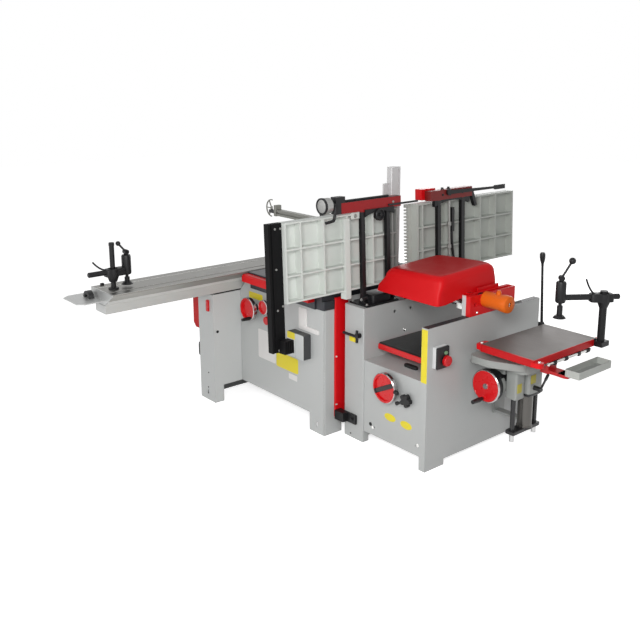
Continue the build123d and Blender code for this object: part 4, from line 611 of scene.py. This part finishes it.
# Curve through three guide points: (1-t)^2 a + 2 t (1-t) b + t^2 c.
def bendThrough(a, b, c, count=14):
    t = np.linspace(0, 1, count)[:, None]
    a, b, c = (np.array(point, dtype=float) for point in (a, b, c))
    return (1 - t) ** 2 * a + 2 * t * (1 - t) * b + t ** 2 * c


# Arched web on a raised table: along y its lower edge follows low + rise * (1 - s^2), s from -1 to 1.
def archWeb(look, count=25):
    s = np.linspace(-1, 1, count)
    y = look["start"] + (look["end"] - look["start"]) * (s + 1) / 2
    low = look["low"] + look["rise"] * (1 - s ** 2)
    near, away = look["near"], look["away"]
    u = np.stack((low, low, np.full(count, look["top"]), np.full(count, look["top"])), axis=1)
    w = np.broadcast_to(np.array((near, away, away, near)), u.shape)
    x, _, z = onTable(u, 0, w)
    return closeRings(np.stack((x, np.broadcast_to(y[:, None], u.shape), z), axis=-1))


# Straight bar: an outline, anticlockwise about the direction of the shift, and the same outline shifted.
def prism(outline, shift):
    start = np.array(outline, dtype=float)
    return closeRings(np.stack((start, start + np.array(shift))))


def upright(outline, low, high):  # a straight bar that stands on its outline
    return prism([(x, y, low) for x, y in outline], (0, 0, high - low))


# Forms of a piece: blocks are centre, half sizes, steps, corner power and bore of an upright block, and turns
# are place, direction, profile, points around and loop of a turned form.
def formsOf(look):
    blocks = [stacked(*block) for block in look.get("blocks", ())]
    return blocks + [turned(*form) for form in look.get("turns", ())]


# One piece from several forms, with soft shading between its sharp edges.
def addPiece(name, forms, finish, body, sharp=32):
    counts = np.cumsum([0] + [len(points) for points, _ in forms]).tolist()
    faces = [[index + start for index in face] for start, (_, sides) in zip(counts, forms) for face in sides]
    mesh = bpy.data.meshes.new(name)
    mesh.from_pydata(np.concatenate([points for points, _ in forms]).tolist(), [], faces)
    mesh.shade_smooth()
    mesh.set_sharp_from_angle(angle=math.radians(sharp))
    mesh.materials.append(materials[finish])
    piece = bpy.data.objects.new(name, mesh)
    bpy.context.scene.collection.objects.link(piece)
    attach(piece, body)
    return piece


# Bare plates: one dictionary for each piece, with place, face, half sizes and corner power of every plate.
plateThick = 1.0
plates = {
    "plain_plates_yellow": {"finish": "plateYellow", "body": "base", "slot": "pale_plastic", "spots": [
        ((-552, -117, 358), frontFace, 108, 48, 14), ((-868, -117, 709), frontFace, 72, 20, 14),
        ((-441, -171, 571), frontFace, 36, 20, 14), ((-94, 0, 606), frontFace, 26, 22, 14),
        ((460.5, 0, 642), frontFace, 20.5, 145, 30), ((210, 8, 221), frontFace, 43, 22, 2),
        ((333, 8, 216), frontFace, 43, 22, 2)]},
    "plain_plates_white": {"finish": "plateWhite", "body": "base", "slot": "pale_plastic", "spots": [
        ((-757, -117, 412), frontFace, 91, 94, 20), ((-495, -117, 280), frontFace, 41, 17, 14)]},
    "plain_plates_olive": {"finish": "plateOlive", "body": "mortiser_casting", "slot": "pale_plastic",
                           "spots": [
        ((776, 391, 463), sideFace, 19, 25, 14), ((798, 478, 500), sideFace, 22, 24, 14)]},
}
for name, look in plates.items():
    forms = [plateOn(place, sized(face, wide, tall), plateThick, power)
             for place, face, wide, tall, power in look["spots"]]
    addPiece(name, forms, look["finish"], look["body"])
print("bare plates:", len(plates))

# Small fittings: blocks with place, face, half sizes, how far each stands out, and corner power.
fittings = {
    "switch_box_wing": {"finish": "palePlastic", "body": "base", "slot": "pale_plastic", "blocks": [
        ((-440, -117, 517), frontFace, 39, 74, 54, 24)]},
    "apron_corner": {"finish": "sawTableIron", "body": "base", "slot": "cast_iron", "blocks": [
        ((-300, -117, 788), frontFace, 96, 27, 10, 30), ((-204, -84, 788), sideFace, 40, 27, 9, 30)]},
    # The leg's skirt is painted dark grey, not in the cabinet's grey, as painted shade under the saw's leg.
    "leg_skirt": {"finish": "paintedShadeSheet", "body": "base", "slot": "grey_paint", "blocks": [
        ((-1203, 150, 58), sideFace, 330, 56, 4, 40)]},
    "rail_end_cap": {"finish": "endPlate", "body": "base", "slot": "aluminium", "blocks": [
        ((-1092.5, -1042, 755), frontFace, 61, 26, 4, 20)]},
    "carriage_edge_stop": {"finish": "blackPlastic", "body": "carriage", "slot": "black_plastic", "blocks": [
        ((-1184, -985, 863), topFace, 9, 11, 12, 4)]},
    "table_ears": {"finish": "redPaint", "body": "mortiser_table", "slot": "red_paint", "blocks": [
        ((616, 292, 666), topFace, 34, 44, 26, 3), ((964, 262, 666), topFace, 34, 24, 24, 3)]},
    "hinge_castings": {"finish": "blackPaint", "body": "base", "slot": "black_paint", "blocks": [
        ((-76, 165, 804), topFace, 52, 72, 46, 8), ((-76, 797, 804), topFace, 52, 80, 46, 8)]},
    "carrier_bracket": {"finish": "infeedPaint", "body": "infeed_table", "slot": "grey_casting", "blocks": [
        (onTable(481, 40, 22), (rear, tableUp), 42, 22, 8, 8)]},
    "power_inlet": {"finish": "blackPlastic", "body": "base", "slot": "black_plastic", "blocks": [
        ((-1205, -302, 318), leftFace, 46, 22, 26, 6), ((-1231, -302, 312), leftFace, 30, 16, 8, 4)]},
    "leg_latch": {"finish": "redPlastic", "body": "base", "slot": "red_plastic", "blocks": [
        ((-1088, -329, 640), frontFace, 13, 37, 12, 8)]},
    "switch_hanger": {"finish": "plateWhite", "body": "base", "slot": "pale_plastic", "blocks": [
        ((-395, -117, 672), frontFace, 37, 66, 5, 12), ((-325, -117, 620), frontFace, 78, 14, 7, 10)]},
    "shelf_catch": {"finish": "blackPlastic", "body": "base", "slot": "black_plastic", "blocks": [
        ((258, 116, 497), topFace, 46, 15, 16, 4)]},
    "roller_arm": {"finish": "boltZinc", "body": "base", "slot": "steel", "blocks": [
        ((403, 339, 842), frontFace, 23, 19, 10, 5)]},
    "outfeed_beam_end": {"finish": "redPaint", "body": "outfeed_table", "slot": "red_paint", "blocks": [
        (onTable(537, 645, 45), (tableUp, rear), 33, 60, 54, 24)]},
    "fence_end_block": {"finish": "fenceAluminium", "body": "carriage", "slot": "aluminium", "blocks": [
        ((-2273, 1110, 900), topFace, 16.5, 29, 92, 24)]},
}
for name, look in fittings.items():
    forms = [plateOn(place, sized(face, wide, tall), thick, power, min(3, thick / 3))
             for place, face, wide, tall, thick, power in look["blocks"]]
    addPiece(name, forms, look["finish"], look["body"])
print("fittings:", len(fittings))

# Screws and bolts, by the body they ride on: place, direction, radius and height of each head.
hingePlates = [(x, y, 805) for x in (-138, -22) for y in (42, 264, 664, 907)]
hingePins = [(-70, arm - 23.3, 826) for arm in (68, 262, 690, 905)]
screws = {
    "body_screws": {"finish": "boltZinc", "body": "base", "make": socketScrew, "heads": [
        ((-194, -33, 475), right, 6, 4), ((-194, -33, 181), right, 6, 4), ((0, 323, 613), right, 11, 6),
        ((482, 380, 812), right, 7, 4), ((482, 650, 812), right, 7, 4),
        ((74, 8, 117), front, 10, 3), ((422, 8, 132), front, 10, 3)]},
    "hinge_bolts": {"finish": "boltDull", "body": "base", "make": hexBolt, "heads": [
        *((place, up, 6, 8) for place in hingePlates), *((place, front, 6, 6) for place in hingePins)]},
    "dark_screws": {"finish": "blackPlastic", "body": "base", "make": socketScrew, "heads": [
        ((-1036, -298, 473), right, 9, 3), ((-1107, -329, 188), front, 5, 2),
        ((-1115, -329, 87), front, 5, 2), ((-1117, -329, 46), front, 5, 2), ((-103, 0, 23), front, 5, 2),
        ((56, 8, 131), front, 11, 3), ((442, 8, 127), front, 7, 3)]},
    "rail_bolts": {"finish": "boltDull", "body": "infeed_table", "make": socketScrew, "heads": [
        (onTable(u, y, 48), tableUnder, 6, 5)
        for u, y in ((-186, -505), (30, -505), (249, -505), (462, -505), (462, -470), (48, -470))]},
    "carrier_bolts": {"finish": "boltDull", "body": "infeed_table", "make": hexBolt, "heads": [
        (onTable(530, 300, -3), tableUnder, 5, 6), (onTable(476, 24, 14), tableUnder, 8, 9)]},
    "outfeed_bolts": {"finish": "blackPaint", "body": "outfeed_table", "make": hexBolt, "heads": [
        (onTable(530, y, -3), tableUnder, 5, 6) for y in (720, 900)]},
    "beam_bolts": {"finish": "blackPaint", "body": "outfeed_table", "make": hexBolt, "heads": [
        (onTable(560, y, 20), tableUp, 8, 12) for y in (739, 795)]},
    "ear_bolts": {"finish": "boltZinc", "body": "mortiser_table", "make": socketScrew, "heads": [
        ((604, 282, 692), up, 9, 6), ((628, 336, 692), up, 8, 5), ((976, 264, 690), up, 8, 5)]},
}
for name, look in screws.items():
    addPiece(name, [look["make"](*head) for head in look["heads"]], look["finish"], look["body"])
print("screw sets:", len(screws))

# Lock gear under the raised tables' beams: arched webs, a pull rod with collars, and a bent link.
lockGear = {
    "infeed_lock_web": {"body": "infeed_table", "start": 78, "end": 300, "low": 466, "rise": 24,
                        "top": 506, "near": -11, "away": 20},
    "outfeed_lock_web": {"body": "outfeed_table", "start": 652, "end": 968, "low": 462, "rise": 30,
                         "top": 506, "near": -2, "away": 20},
}
for name, look in lockGear.items():
    addPiece(name, [archWeb(look)], "blackPaint", look["body"])
pullRod = {"y": 793, "w": 12, "low": 74, "rod": [(8, 0), (8, 432)], "collars": (205, 345),
           "collar": [(11, -13), (14, -10), (14, 10), (11, 13)]}
rodForms = [(pullRod["low"], pullRod["rod"]), *((u, pullRod["collar"]) for u in pullRod["collars"])]
addPiece("outfeed_pull_rod", [
    turned(onTable(u, pullRod["y"], pullRod["w"]), tableUp, profile) for u, profile in rodForms],
    "boltDull", "outfeed_table")
lockLink = {"bend": (onTable(320, 815, 12), onTable(200, 816, 12), onTable(80, 846, 12)), "radius": 8,
            "bar": onTable(74, 931, 13), "barProfile": [(6, 0), (6, 420)]}
addPiece("outfeed_lock_link", [
    tubeAlong(bendThrough(*lockLink["bend"]), lockLink["radius"]),
    turned(lockLink["bar"], tableUp, lockLink["barProfile"])], "blackPaint", "outfeed_table")
lockHub = {"place": onTable(470, 181, -9), "profile": [
    (34, -6), (34, 12), (30, 16), (25, 16), (23, 9), (10, 9), (9, 20), (6, 22)]}
addPiece("infeed_lock_hub", [turned(lockHub["place"], tableUnder, lockHub["profile"])], "blackPaint",
         "infeed_table")
print("lock gear placed")

# Lock knob of the infeed table: pale turned body with a dark lip, on its hub, and a bent lever of round bar.
lockKnob = {
    "front": onTable(552, -212, 20), "body": [(30, 0), (40, 3), (43, 8), (43, 50), (38, 56)],
    "lip": [(40, 9), (45, 9), (45, -1), (38, -2), (36, 3)],
    "hub": [(34, 50), (26, 60), (20, 64), (20, 83.5), (7, 84), (7, 130)],
    "pin": onTable(552, -140, 20), "pinProfile": [(10, 0), (10, 42)], "bar": 8, "bends": [
        (onTable(556, -142, -14), onTable(520, -146, -16), onTable(490, -152, -16)),
        (onTable(484, -153, -16), onTable(472, -158, -16), onTable(470, -168, -16)),
        (onTable(469, -176, -16), onTable(467, -196, -16), onTable(466, -214, -16))]}
leverPath = np.concatenate([bendThrough(*bend, count=6) for bend in lockKnob["bends"]])
knobBody = addPiece("infeed_knob_body", [turned(lockKnob["front"], rear, lockKnob["body"], 40)], "knobSilver",
                    "infeed_lock_lever")
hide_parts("infeed_lock_lever")
addPiece("infeed_knob_lever", [
    turned(lockKnob["front"], rear, lockKnob["lip"], 40, True),
    turned(lockKnob["front"], rear, lockKnob["hub"], 32),
    turned(lockKnob["pin"], tableUnder, lockKnob["pinProfile"]), tubeAlong(leverPath, lockKnob["bar"])],
    "blackPaint", "infeed_lock_lever")

# Guard over the drill chuck: a cup that widens towards its open end, with a grease nipple on top.
drillGuard = {"turns": [
    ((482, 450, 876), right, [
        (37, 0), (43, 0), (43, 96), (47, 122), (48, 134), (48, 152), (45, 160), (40, 163), (12, 163),
        (12, 159), (37, 159)], 48, True),
    ((570, 450, 916), up, [(13, 0), (14, 4), (14, 12), (11, 16), (11, 21), (7, 25)])]}
guardCup = addPiece("drill_guard", formsOf(drillGuard), "orangePaint", "base")
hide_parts("chuck_guard")

# Guard bar: extrusion with one narrow groove along its right face, a thin strip beside it, and its guide.
guardLook = {"left": -237, "right": -197, "front": 393, "rear": 464, "low": 872, "high": 1535, "groove": 5,
             "strip": [(-229, 351), (-217, 351), (-217, 395), (-229, 395)], "stripLow": 1000,
             "stripHigh": 1441}
barLeft, barRight, barFront, barRear, groove = (
    guardLook[key] for key in ("left", "right", "front", "rear", "groove"))
guardOutline = [
    (barLeft, barFront), (barRight - 3, barFront), (barRight, barFront + 3), (barRight, barRear - 18),
    (barRight - groove, barRear - 16), (barRight - groove, barRear - 10), (barRight, barRear - 8),
    (barRight, barRear), (barLeft, barRear)]
guardBar = addPiece("guard_extrusion", [
    upright(guardOutline, guardLook["low"], guardLook["high"]),
    upright(guardLook["strip"], guardLook["stripLow"], guardLook["stripHigh"])],
    "guardAluminium", "guard_bar")
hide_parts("guard_bar")
barGuide = {"centre": (-193, 440), "half": (3.5, 13), "steps": [(0, 892), (0, 1159), (2, 1162)], "power": 30}
addPiece("guard_bar_guide", [stacked(**barGuide)], "guardAluminium", "base")
print("knob and guards placed")

# Mortiser stand: thin foot on an arm from the wall, a thick column and two thin ones.
columnX, frontColumn, midColumn, rearColumn, columnTop = 735, 400, 505, 592, 543
thinRod = [(13, 150), (13, columnTop)]
standLook = {
    "blocks": [
        ((columnX, 492), (29, 116), [(2, 194), (0, 196), (0, 212), (2, 214)], 16),
        ((600, 584), (118, 22), [(0, 197), (0, 210)], 30),
        ((487.5, 600), (6, 46), [(0, 190), (0, 558)], 30)],
    "turns": [
        ((columnX, frontColumn, 0), up, thinRod), ((columnX, rearColumn, 0), up, thinRod),
        ((columnX, midColumn, 0), up, [(43, 204), (43, 218), (40, 221), (40, columnTop)], 48)]}
standPiece = addPiece("mortiser_columns", formsOf(standLook), "standFinish", "base")
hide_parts("mortiser_stand")

# Mortiser casting: open bridge with a nose, two bored legs, wheel boss on its web, tongue and lock lever.
castingLook = {
    "blocks": [
        ((680, 490), (160, 150), [(10, 628), (10, 560), (0, 560), (0, 633), (2, 638), (7, 640)], 7),
        ((740, 402), (36, 36), [(4, 398), (0, 403), (0, 624)], 7, (columnX, frontColumn, 14)),
        ((738, 506), (60, 60), [(4, 402), (0, 407), (0, 624)], 7, (columnX, midColumn, 41.5)),
        ((643, 395), (50, 24), [(0, 520), (0, 624)], 12),
        ((720, 493), (30, 143), [(0, 638), (0, 648)], 40)],
    "turns": [
        ((wheelX, 344, wheelZ), rear,
         [(13, 0), (70, 0), (74, 4), (74, 26), (62, 34), (62, 76), (13, 76)], 40, True),
        ((797, 486, 452), right, [(13, 0), (13, 46), (10, 50)]),
        ((839, 486, 452), (0, 0.669, 0.743), [(6, 0), (6, 56), (8, 62), (8, 92), (5, 96)])],
    "nose": [(540, 352), (540, 284), (546, 268), (558, 257), (576, 253), (650, 253), (690, 262), (815, 322),
             (832, 336), (838, 352)],
    "noseLow": 582, "noseHigh": 620}
castingPiece = addPiece("mortiser_body", [
    *formsOf(castingLook), upright(castingLook["nose"], castingLook["noseLow"], castingLook["noseHigh"])],
    "castingPaint", "mortiser_casting")
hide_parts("mortiser_casting")
wheelDial = {"place": (wheelX, 305, wheelZ), "direction": rear, "around": 48,
             "profile": [(80, 0), (88, 2), (88, 24), (80, 34), (66, 38)]}
addPiece("mortiser_wheel_dial", [turned(**wheelDial)], "blackPaint", "mortiser_wheel")

# Lower slide of the mortiser: plate over the guide tongue, lever arm with its pin, red bracket for the tray.
slideLow, slideTop = 640.5, 662.5
slideSteps = [(0, slideLow), (0, slideTop)]
slideLook = {
    "blocks": [
        ((644.7, 490), (44.7, 160), slideSteps, 60), ((845.3, 490), (94.7, 160), slideSteps, 60),
        ((720, 490), (31, 160), [(0, 648.5), (0, slideTop)], 60), ((610.5, 741), (39.5, 101), slideSteps, 30),
        ((585, 816), (12, 4), [(0, 662), (0, 696.5)], 20),
        ((906, 446), (26, 39), [(2, 582), (0, 584), (0, 641)], 8),
        ((966, 446), (74, 34), [(2, 584), (0, 586), (0, 602)], 8),
        ((1010, 452), (30, 46), [(2, 586), (0, 588), (0, 602)], 4)],
    "turns": [((585, 812, 682.5), rear, [(6, 0), (6, 30)])]}
slidePiece = addPiece("mortiser_slide_plate", formsOf(slideLook), "slideFinish", "mortiser_slide")
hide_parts("mortiser_slide")
trayLook = {"centre": (1071, 548), "half": (41, 144), "power": 40,
            "steps": [(0, 602), (0, 640), (3, 640), (3, 606)]}
addPiece("mortiser_tray", [stacked(**trayLook)], "trayPaint", "mortiser_slide")
stopRod = {"x": 955, "z": 650, "start": 372, "rod": [(9, 0), (9, 364)], "rings": (505, 700),
           "ring": [(13, 0), (13, 22)], "blocks": (420, 630)}
addPiece("mortiser_stop_rod", [turned((stopRod["x"], stopRod["start"], stopRod["z"]), rear, stopRod["rod"])],
         "boltZinc", "mortiser_slide")
stopLook = {
    "blocks": [((953, y), (13, 12), [(0, slideLow), (0, 661)], 10) for y in stopRod["blocks"]],
    "turns": [((stopRod["x"], y, stopRod["z"]), rear, stopRod["ring"]) for y in stopRod["rings"]]}
addPiece("mortiser_stop_blocks", formsOf(stopLook), "blackPaint", "mortiser_slide")
print("mortiser placed")

# Chip hood: rings between four sides (left, right, front, rear). The crown lies on z = top + slope * (x + y),
# and its edge turns over by shoulder + (crown - shoulder) * (1 - cos a), round * (1 - sin a) below the crown.
# Its foot climbs behind the clear place, so that it passes the bearing bracket.
hoodLook = {"foot": (-44, 424, 130, 618), "belly": (-38, 423, 134, 617), "shoulder": (-10, 422, 152, 613),
            "crown": (34, 392, 192, 560), "powers": {"foot": 24, "belly": 22, "shoulder": 14, "crown": 9},
            "low": 874, "bellyDrop": 96, "top": 1000, "slope": 0.05, "round": 50, "sheet": 4, "rim": 24,
            "clear": (410, 324, 0.2), "ears": [(0.5, 25.5), (391, 33.5)],
            "ear": [(614, 874), (626, 830), (654, 830), (654, 852), (624, 904), (614, 904)],
            "blocks": [((432.5, 373), (14.5, 17), [(0, 908), (0, 915)], 30)],
            "turns": [((-20, 640, 842), right, [(8, 0), (8, 30)])]}


def hoodRing(sides, drop, power, onFoot=False, around=96):
    sideLeft, sideRight, sideFront, sideRear = sides
    a, b = roundedOutline(power, around).T
    x = (sideLeft + sideRight) / 2 + a * (sideRight - sideLeft) / 2
    y = (sideFront + sideRear) / 2 + b * (sideRear - sideFront) / 2
    edgeX, edgeY, climb = hoodLook["clear"]
    foot = hoodLook["low"] + np.where(x > edgeX, np.maximum(y - edgeY, 0) * climb, 0)
    crown = hoodLook["top"] + hoodLook["slope"] * (x + y) - drop
    return np.stack((x, y, foot if onFoot else crown), axis=-1)


inward = np.array((1, -1, 1, -1))
footSides, bellySides, shoulderSides, crownSides = (
    np.array(hoodLook[key], dtype=float) for key in ("foot", "belly", "shoulder", "crown"))
footPower, bellyPower, shoulderPower, crownPower = hoodLook["powers"].values()
sheet, roundOver = hoodLook["sheet"], hoodLook["round"]
hoodRings = [
    hoodRing(crownSides, sheet, crownPower),
    hoodRing(shoulderSides + sheet * inward, roundOver, shoulderPower),
    hoodRing(footSides + sheet * inward, 0, footPower, True), hoodRing(footSides, 0, footPower, True),
    hoodRing(bellySides, hoodLook["bellyDrop"], bellyPower)]
for turn in np.linspace(0, math.pi / 2, 8):
    drawnIn = shoulderSides + (crownSides - shoulderSides) * (1 - math.cos(turn))
    power = shoulderPower + (crownPower - shoulderPower) * math.sin(turn)
    hoodRings.append(hoodRing(drawnIn, roundOver * (1 - math.sin(turn)), power))
hoodRings.append(hoodRing(crownSides + hoodLook["rim"] * inward, 0, crownPower))
hoodEars = [prism([(x, y, z) for y, z in hoodLook["ear"]], (wide, 0, 0)) for x, wide in hoodLook["ears"]]
hoodPiece = addPiece("hood_shell", [closeRings(np.stack(hoodRings)), *hoodEars, *formsOf(hoodLook)],
                     "hoodPaint", "chip_hood")
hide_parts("chip_hood")
bracketLip = {"centre": (438, 520), "half": (2.5, 90), "steps": [(0, 905), (0, 931)], "power": 40}
addPiece("bracket_lip", [stacked(**bracketLip)], "redPaint", "base")
print("hood placed")

# Feed lever of the mortiser: an eye on its pin, a rod leaning forward, and a short turned grip.
handLever = {"place": (585, 830, 682.5), "lean": math.radians(4), "eye": [(15, -9), (15, 7)],
             "rod": [(8, 6), (7, 340), (8, 356), (13, 374), (15, 392), (15, 410), (11, 419)]}
leverUp = (0, -math.sin(handLever["lean"]), math.cos(handLever["lean"]))
handLeverPiece = addPiece("mortiser_hand_lever", [
    turned(handLever["place"], rear, handLever["eye"]),
    turned(handLever["place"], leverUp, handLever["rod"])], "blackPaint", "mortiser_lever")
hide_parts("mortiser_lever")

# Hold-down clamps: barrel, round arm, block with a flared collar on the post, stub bar and curved lock lever.
postLook = {"place": (-1060, -972, 863), "direction": up, "profile": [
    (30, 0), (30, 6), (27, 9), (15, 11), (14.5, 20), (14.5, 250), (16, 254), (16, 268), (14, 271)]}
postPiece = addPiece("carriage_clamp_column", [turned(**postLook)], "blackPaint", "carriage")
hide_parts("carriage_clamp_post")
clampForm = {"barrel": [(15, -30), (24, -26), (27, -18), (27, 78), (24, 86), (16, 88)],
             "fork": [(10, 84), (13, 94), (13, 102)], "collar": [(22, -58), (34, -26), (34, 14), (28, 19)],
             "armRadius": 16, "armStart": 30, "stubRadius": 15, "stubTip": 11, "stubBevel": 4,
             "block": {"ahead": 14, "below": 24, "long": 62, "wide": 30, "thick": 43, "power": 5, "edge": 8},
             "lockRadius": 5, "lockRise": 14, "bendRise": 26, "bendShare": 0.55}
clampLook = {
    "carriage_clamp_arm": {"post": (-1060, -972), "aim": (0, 1), "reach": 86, "z": 965, "stub": 150,
                           "lock": -44, "lockEnd": (-118, 70)},
    "mortise_clamp_arm": {"post": (977, 800), "aim": (-0.5878, -0.8090), "reach": 232, "z": 930, "stub": 84,
                          "lock": 47, "lockEnd": (100, 96)},
}
rise = np.array((0.0, 0.0, 1.0))
for node, look in clampLook.items():
    aim = np.array((*look["aim"], 0.0))
    across = np.array((-aim[1], aim[0], 0.0))
    post = np.array((*look["post"], look["z"]), dtype=float)
    tip = post + aim * look["reach"]
    block, thin, start = clampForm["block"], clampForm["armRadius"], clampForm["armStart"]
    arm = [(thin, start), (thin, look["reach"] - thin)]
    thick, bevel = clampForm["stubRadius"], clampForm["stubBevel"]
    stub = [(thick, start), (thick, look["stub"] - bevel), (clampForm["stubTip"], look["stub"])]
    endAlong, endRise = look["lockEnd"]
    bendAlong = look["lock"] + (endAlong - look["lock"]) * clampForm["bendShare"]
    lockPath = bendThrough(post + aim * look["lock"] + rise * clampForm["lockRise"],
                           post + aim * bendAlong + rise * clampForm["bendRise"],
                           post + aim * endAlong + rise * endRise)
    clampPiece = addPiece(node.replace("_arm", "_frame"), [
        turned(tip, rise, clampForm["barrel"], 32), turned(tip, rise, clampForm["fork"]),
        turned(post, aim, arm), turned(post, rise, clampForm["collar"], 32), turned(post, -aim, stub),
        plateOn(post + aim * block["ahead"] - rise * block["below"],
                sized((aim, across), block["long"], block["wide"]),
                block["thick"], block["power"], block["edge"]),
        tubeAlong(lockPath, clampForm["lockRadius"])], "blackPaint", node)
    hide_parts(node)

# Ball lever of the mortiser's clamp, on its cam: the ball's rings have the radius ball * sin(t).
ballLever = {"place": (840.6, 612.3, 1034), "lean": (0.294, 0.4045, 0.866), "across": (0.809, -0.5878, 0),
             "cam": [(15, -12), (15, 12)], "rod": [(8, 4), (6, 20), (6, 87)], "ball": 18, "centre": 104}
ballTurn = np.linspace(0.35, math.pi - 0.2, 9)
ballCircle = np.stack((np.sin(ballTurn), -np.cos(ballTurn)), axis=1)
ballRings = ballCircle * ballLever["ball"] + (0, ballLever["centre"])
leverPiece = addPiece("mortise_clamp_handle", [
    turned(ballLever["place"], ballLever["across"], ballLever["cam"]),
    turned(ballLever["place"], ballLever["lean"], [*ballLever["rod"], *ballRings.tolist()])],
    "blackPaint", "mortise_clamp_lever")
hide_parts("mortise_clamp_lever")

# Grips on the bed's wheel and lock knob.
grips = {
    "bed_wheel_grip": {"body": "bed_wheel", "place": (284, -34, 404), "lean": (0.94, -0.3, 0.1),
                       "profile": [(8, 0), (12, 6), (13, 20), (11, 30), (7, 34)]},
    "bed_lock_tail": {"body": "bed_lock_knob", "place": (344, -22, 364), "lean": (-0.9, 0, -0.43),
                      "profile": [(8, 0), (7, 44), (10, 50), (11, 62), (7, 68)]},
}
for name, look in grips.items():
    addPiece(name, [turned(look["place"], look["lean"], look["profile"])], "blackPlastic", look["body"])
print("levers, clamps and grips placed")

# Camera at the photograph's place.
cameraLook = {"place": (3220, -2990, 2067), "tilt": 77.60, "turn": 49.86, "lens": 46.36, "sensor": 36,
              "shiftX": -0.0094, "shiftY": -0.1016, "reach": 100}
cameraData = bpy.data.cameras.new("camera")
cameraData.lens, cameraData.sensor_width = cameraLook["lens"], cameraLook["sensor"]
cameraData.shift_x, cameraData.shift_y = cameraLook["shiftX"], cameraLook["shiftY"]
cameraData.clip_end = cameraLook["reach"]
camera = bpy.data.objects.new("camera", cameraData)
camera.location = at(*cameraLook["place"])
camera.rotation_euler = (math.radians(cameraLook["tilt"]), 0, math.radians(cameraLook["turn"]))
bpy.context.scene.collection.objects.link(camera)
bpy.context.scene.camera = camera

# Soft studio light: one lamp beside the camera, a weaker one in front on the left, and a low one behind.
lamps = {
    "keyLight": {"place": (2500, -2600, 2300), "aim": (-300, 200, 700), "size": (1.6, 1.2), "power": 103},
    "frontLight": {"place": (-1500, -4200, 2000), "aim": (-500, 0, 600), "size": (3.0, 2.0), "power": 42},
    "backLight": {"place": (-2600, 4400, 1500), "aim": (-400, 400, 700), "size": (3.0, 1.8), "power": 60},
}
for name, lamp in lamps.items():
    data = bpy.data.lights.new(name, "AREA")
    data.shape, data.energy = "RECTANGLE", lamp["power"]
    data.size, data.size_y = lamp["size"]
    lampObject = bpy.data.objects.new(name, data)
    place, aim = at(*lamp["place"]), at(*lamp["aim"])
    lampObject.location = place
    away = place - aim
    lampObject.rotation_euler = (math.acos(away[2] / np.linalg.norm(away)), 0, math.atan2(away[0], -away[1]))
    bpy.context.scene.collection.objects.link(lampObject)


def seenDirectly(tree):  # 1 for rays from the camera, mirrors and glass, 0 for soft light
    path = addNode(tree, "LightPath").outputs
    mirror = calc(tree, "MAXIMUM", path["Is Glossy Ray"], path["Is Transmission Ray"])
    return calc(tree, "MAXIMUM", path["Is Camera Ray"], mirror)


# White surroundings for what the camera sees, a dimmer grey as the light they give.
surroundLight = 0.28
world = bpy.data.worlds.new("studio")
world.use_nodes = True
bpy.context.scene.world = world
worldTree = world.node_tree
background = worldTree.nodes["Background"].inputs
worldTree.links.new(mixValue(worldTree, seenDirectly(worldTree), surroundLight, 1.0), background["Strength"])
background["Color"].default_value = white

# Pale floor that keeps the machine's shadow.
floorLook = {"size": 30.0, "glow": 0.78, "color": tone(235, 235, 235)}
half = floorLook["size"] / 2
floorMesh = bpy.data.meshes.new("floor")
floorCorners = [(-half, -half, 0), (half, -half, 0), (half, half, 0), (-half, half, 0)]
floorMesh.from_pydata(floorCorners, [], [(0, 1, 2, 3)])
floor = bpy.data.objects.new("floor", floorMesh)
bpy.context.scene.collection.objects.link(floor)
floorMaterial = bpy.data.materials.new("floorPaper")
floorMaterial.use_nodes = True
floorTree = floorMaterial.node_tree
floorTree.nodes.remove(floorTree.nodes["Principled BSDF"])
paper = addNode(floorTree, "BsdfDiffuse", {"Color": floorLook["color"]})
shine = calc(floorTree, "MULTIPLY", seenDirectly(floorTree), floorLook["glow"])
glow = addNode(floorTree, "Emission", {"Color": white, "Strength": shine})
both = addNode(floorTree, "AddShader", {0: paper.outputs[0], 1: glow.outputs[0]})
floorTree.links.new(both.outputs[0], floorTree.nodes["Material Output"].inputs["Surface"])
floorMesh.materials.append(floorMaterial)

bpy.context.scene.view_settings.view_transform = "Standard"
print("scene ready")
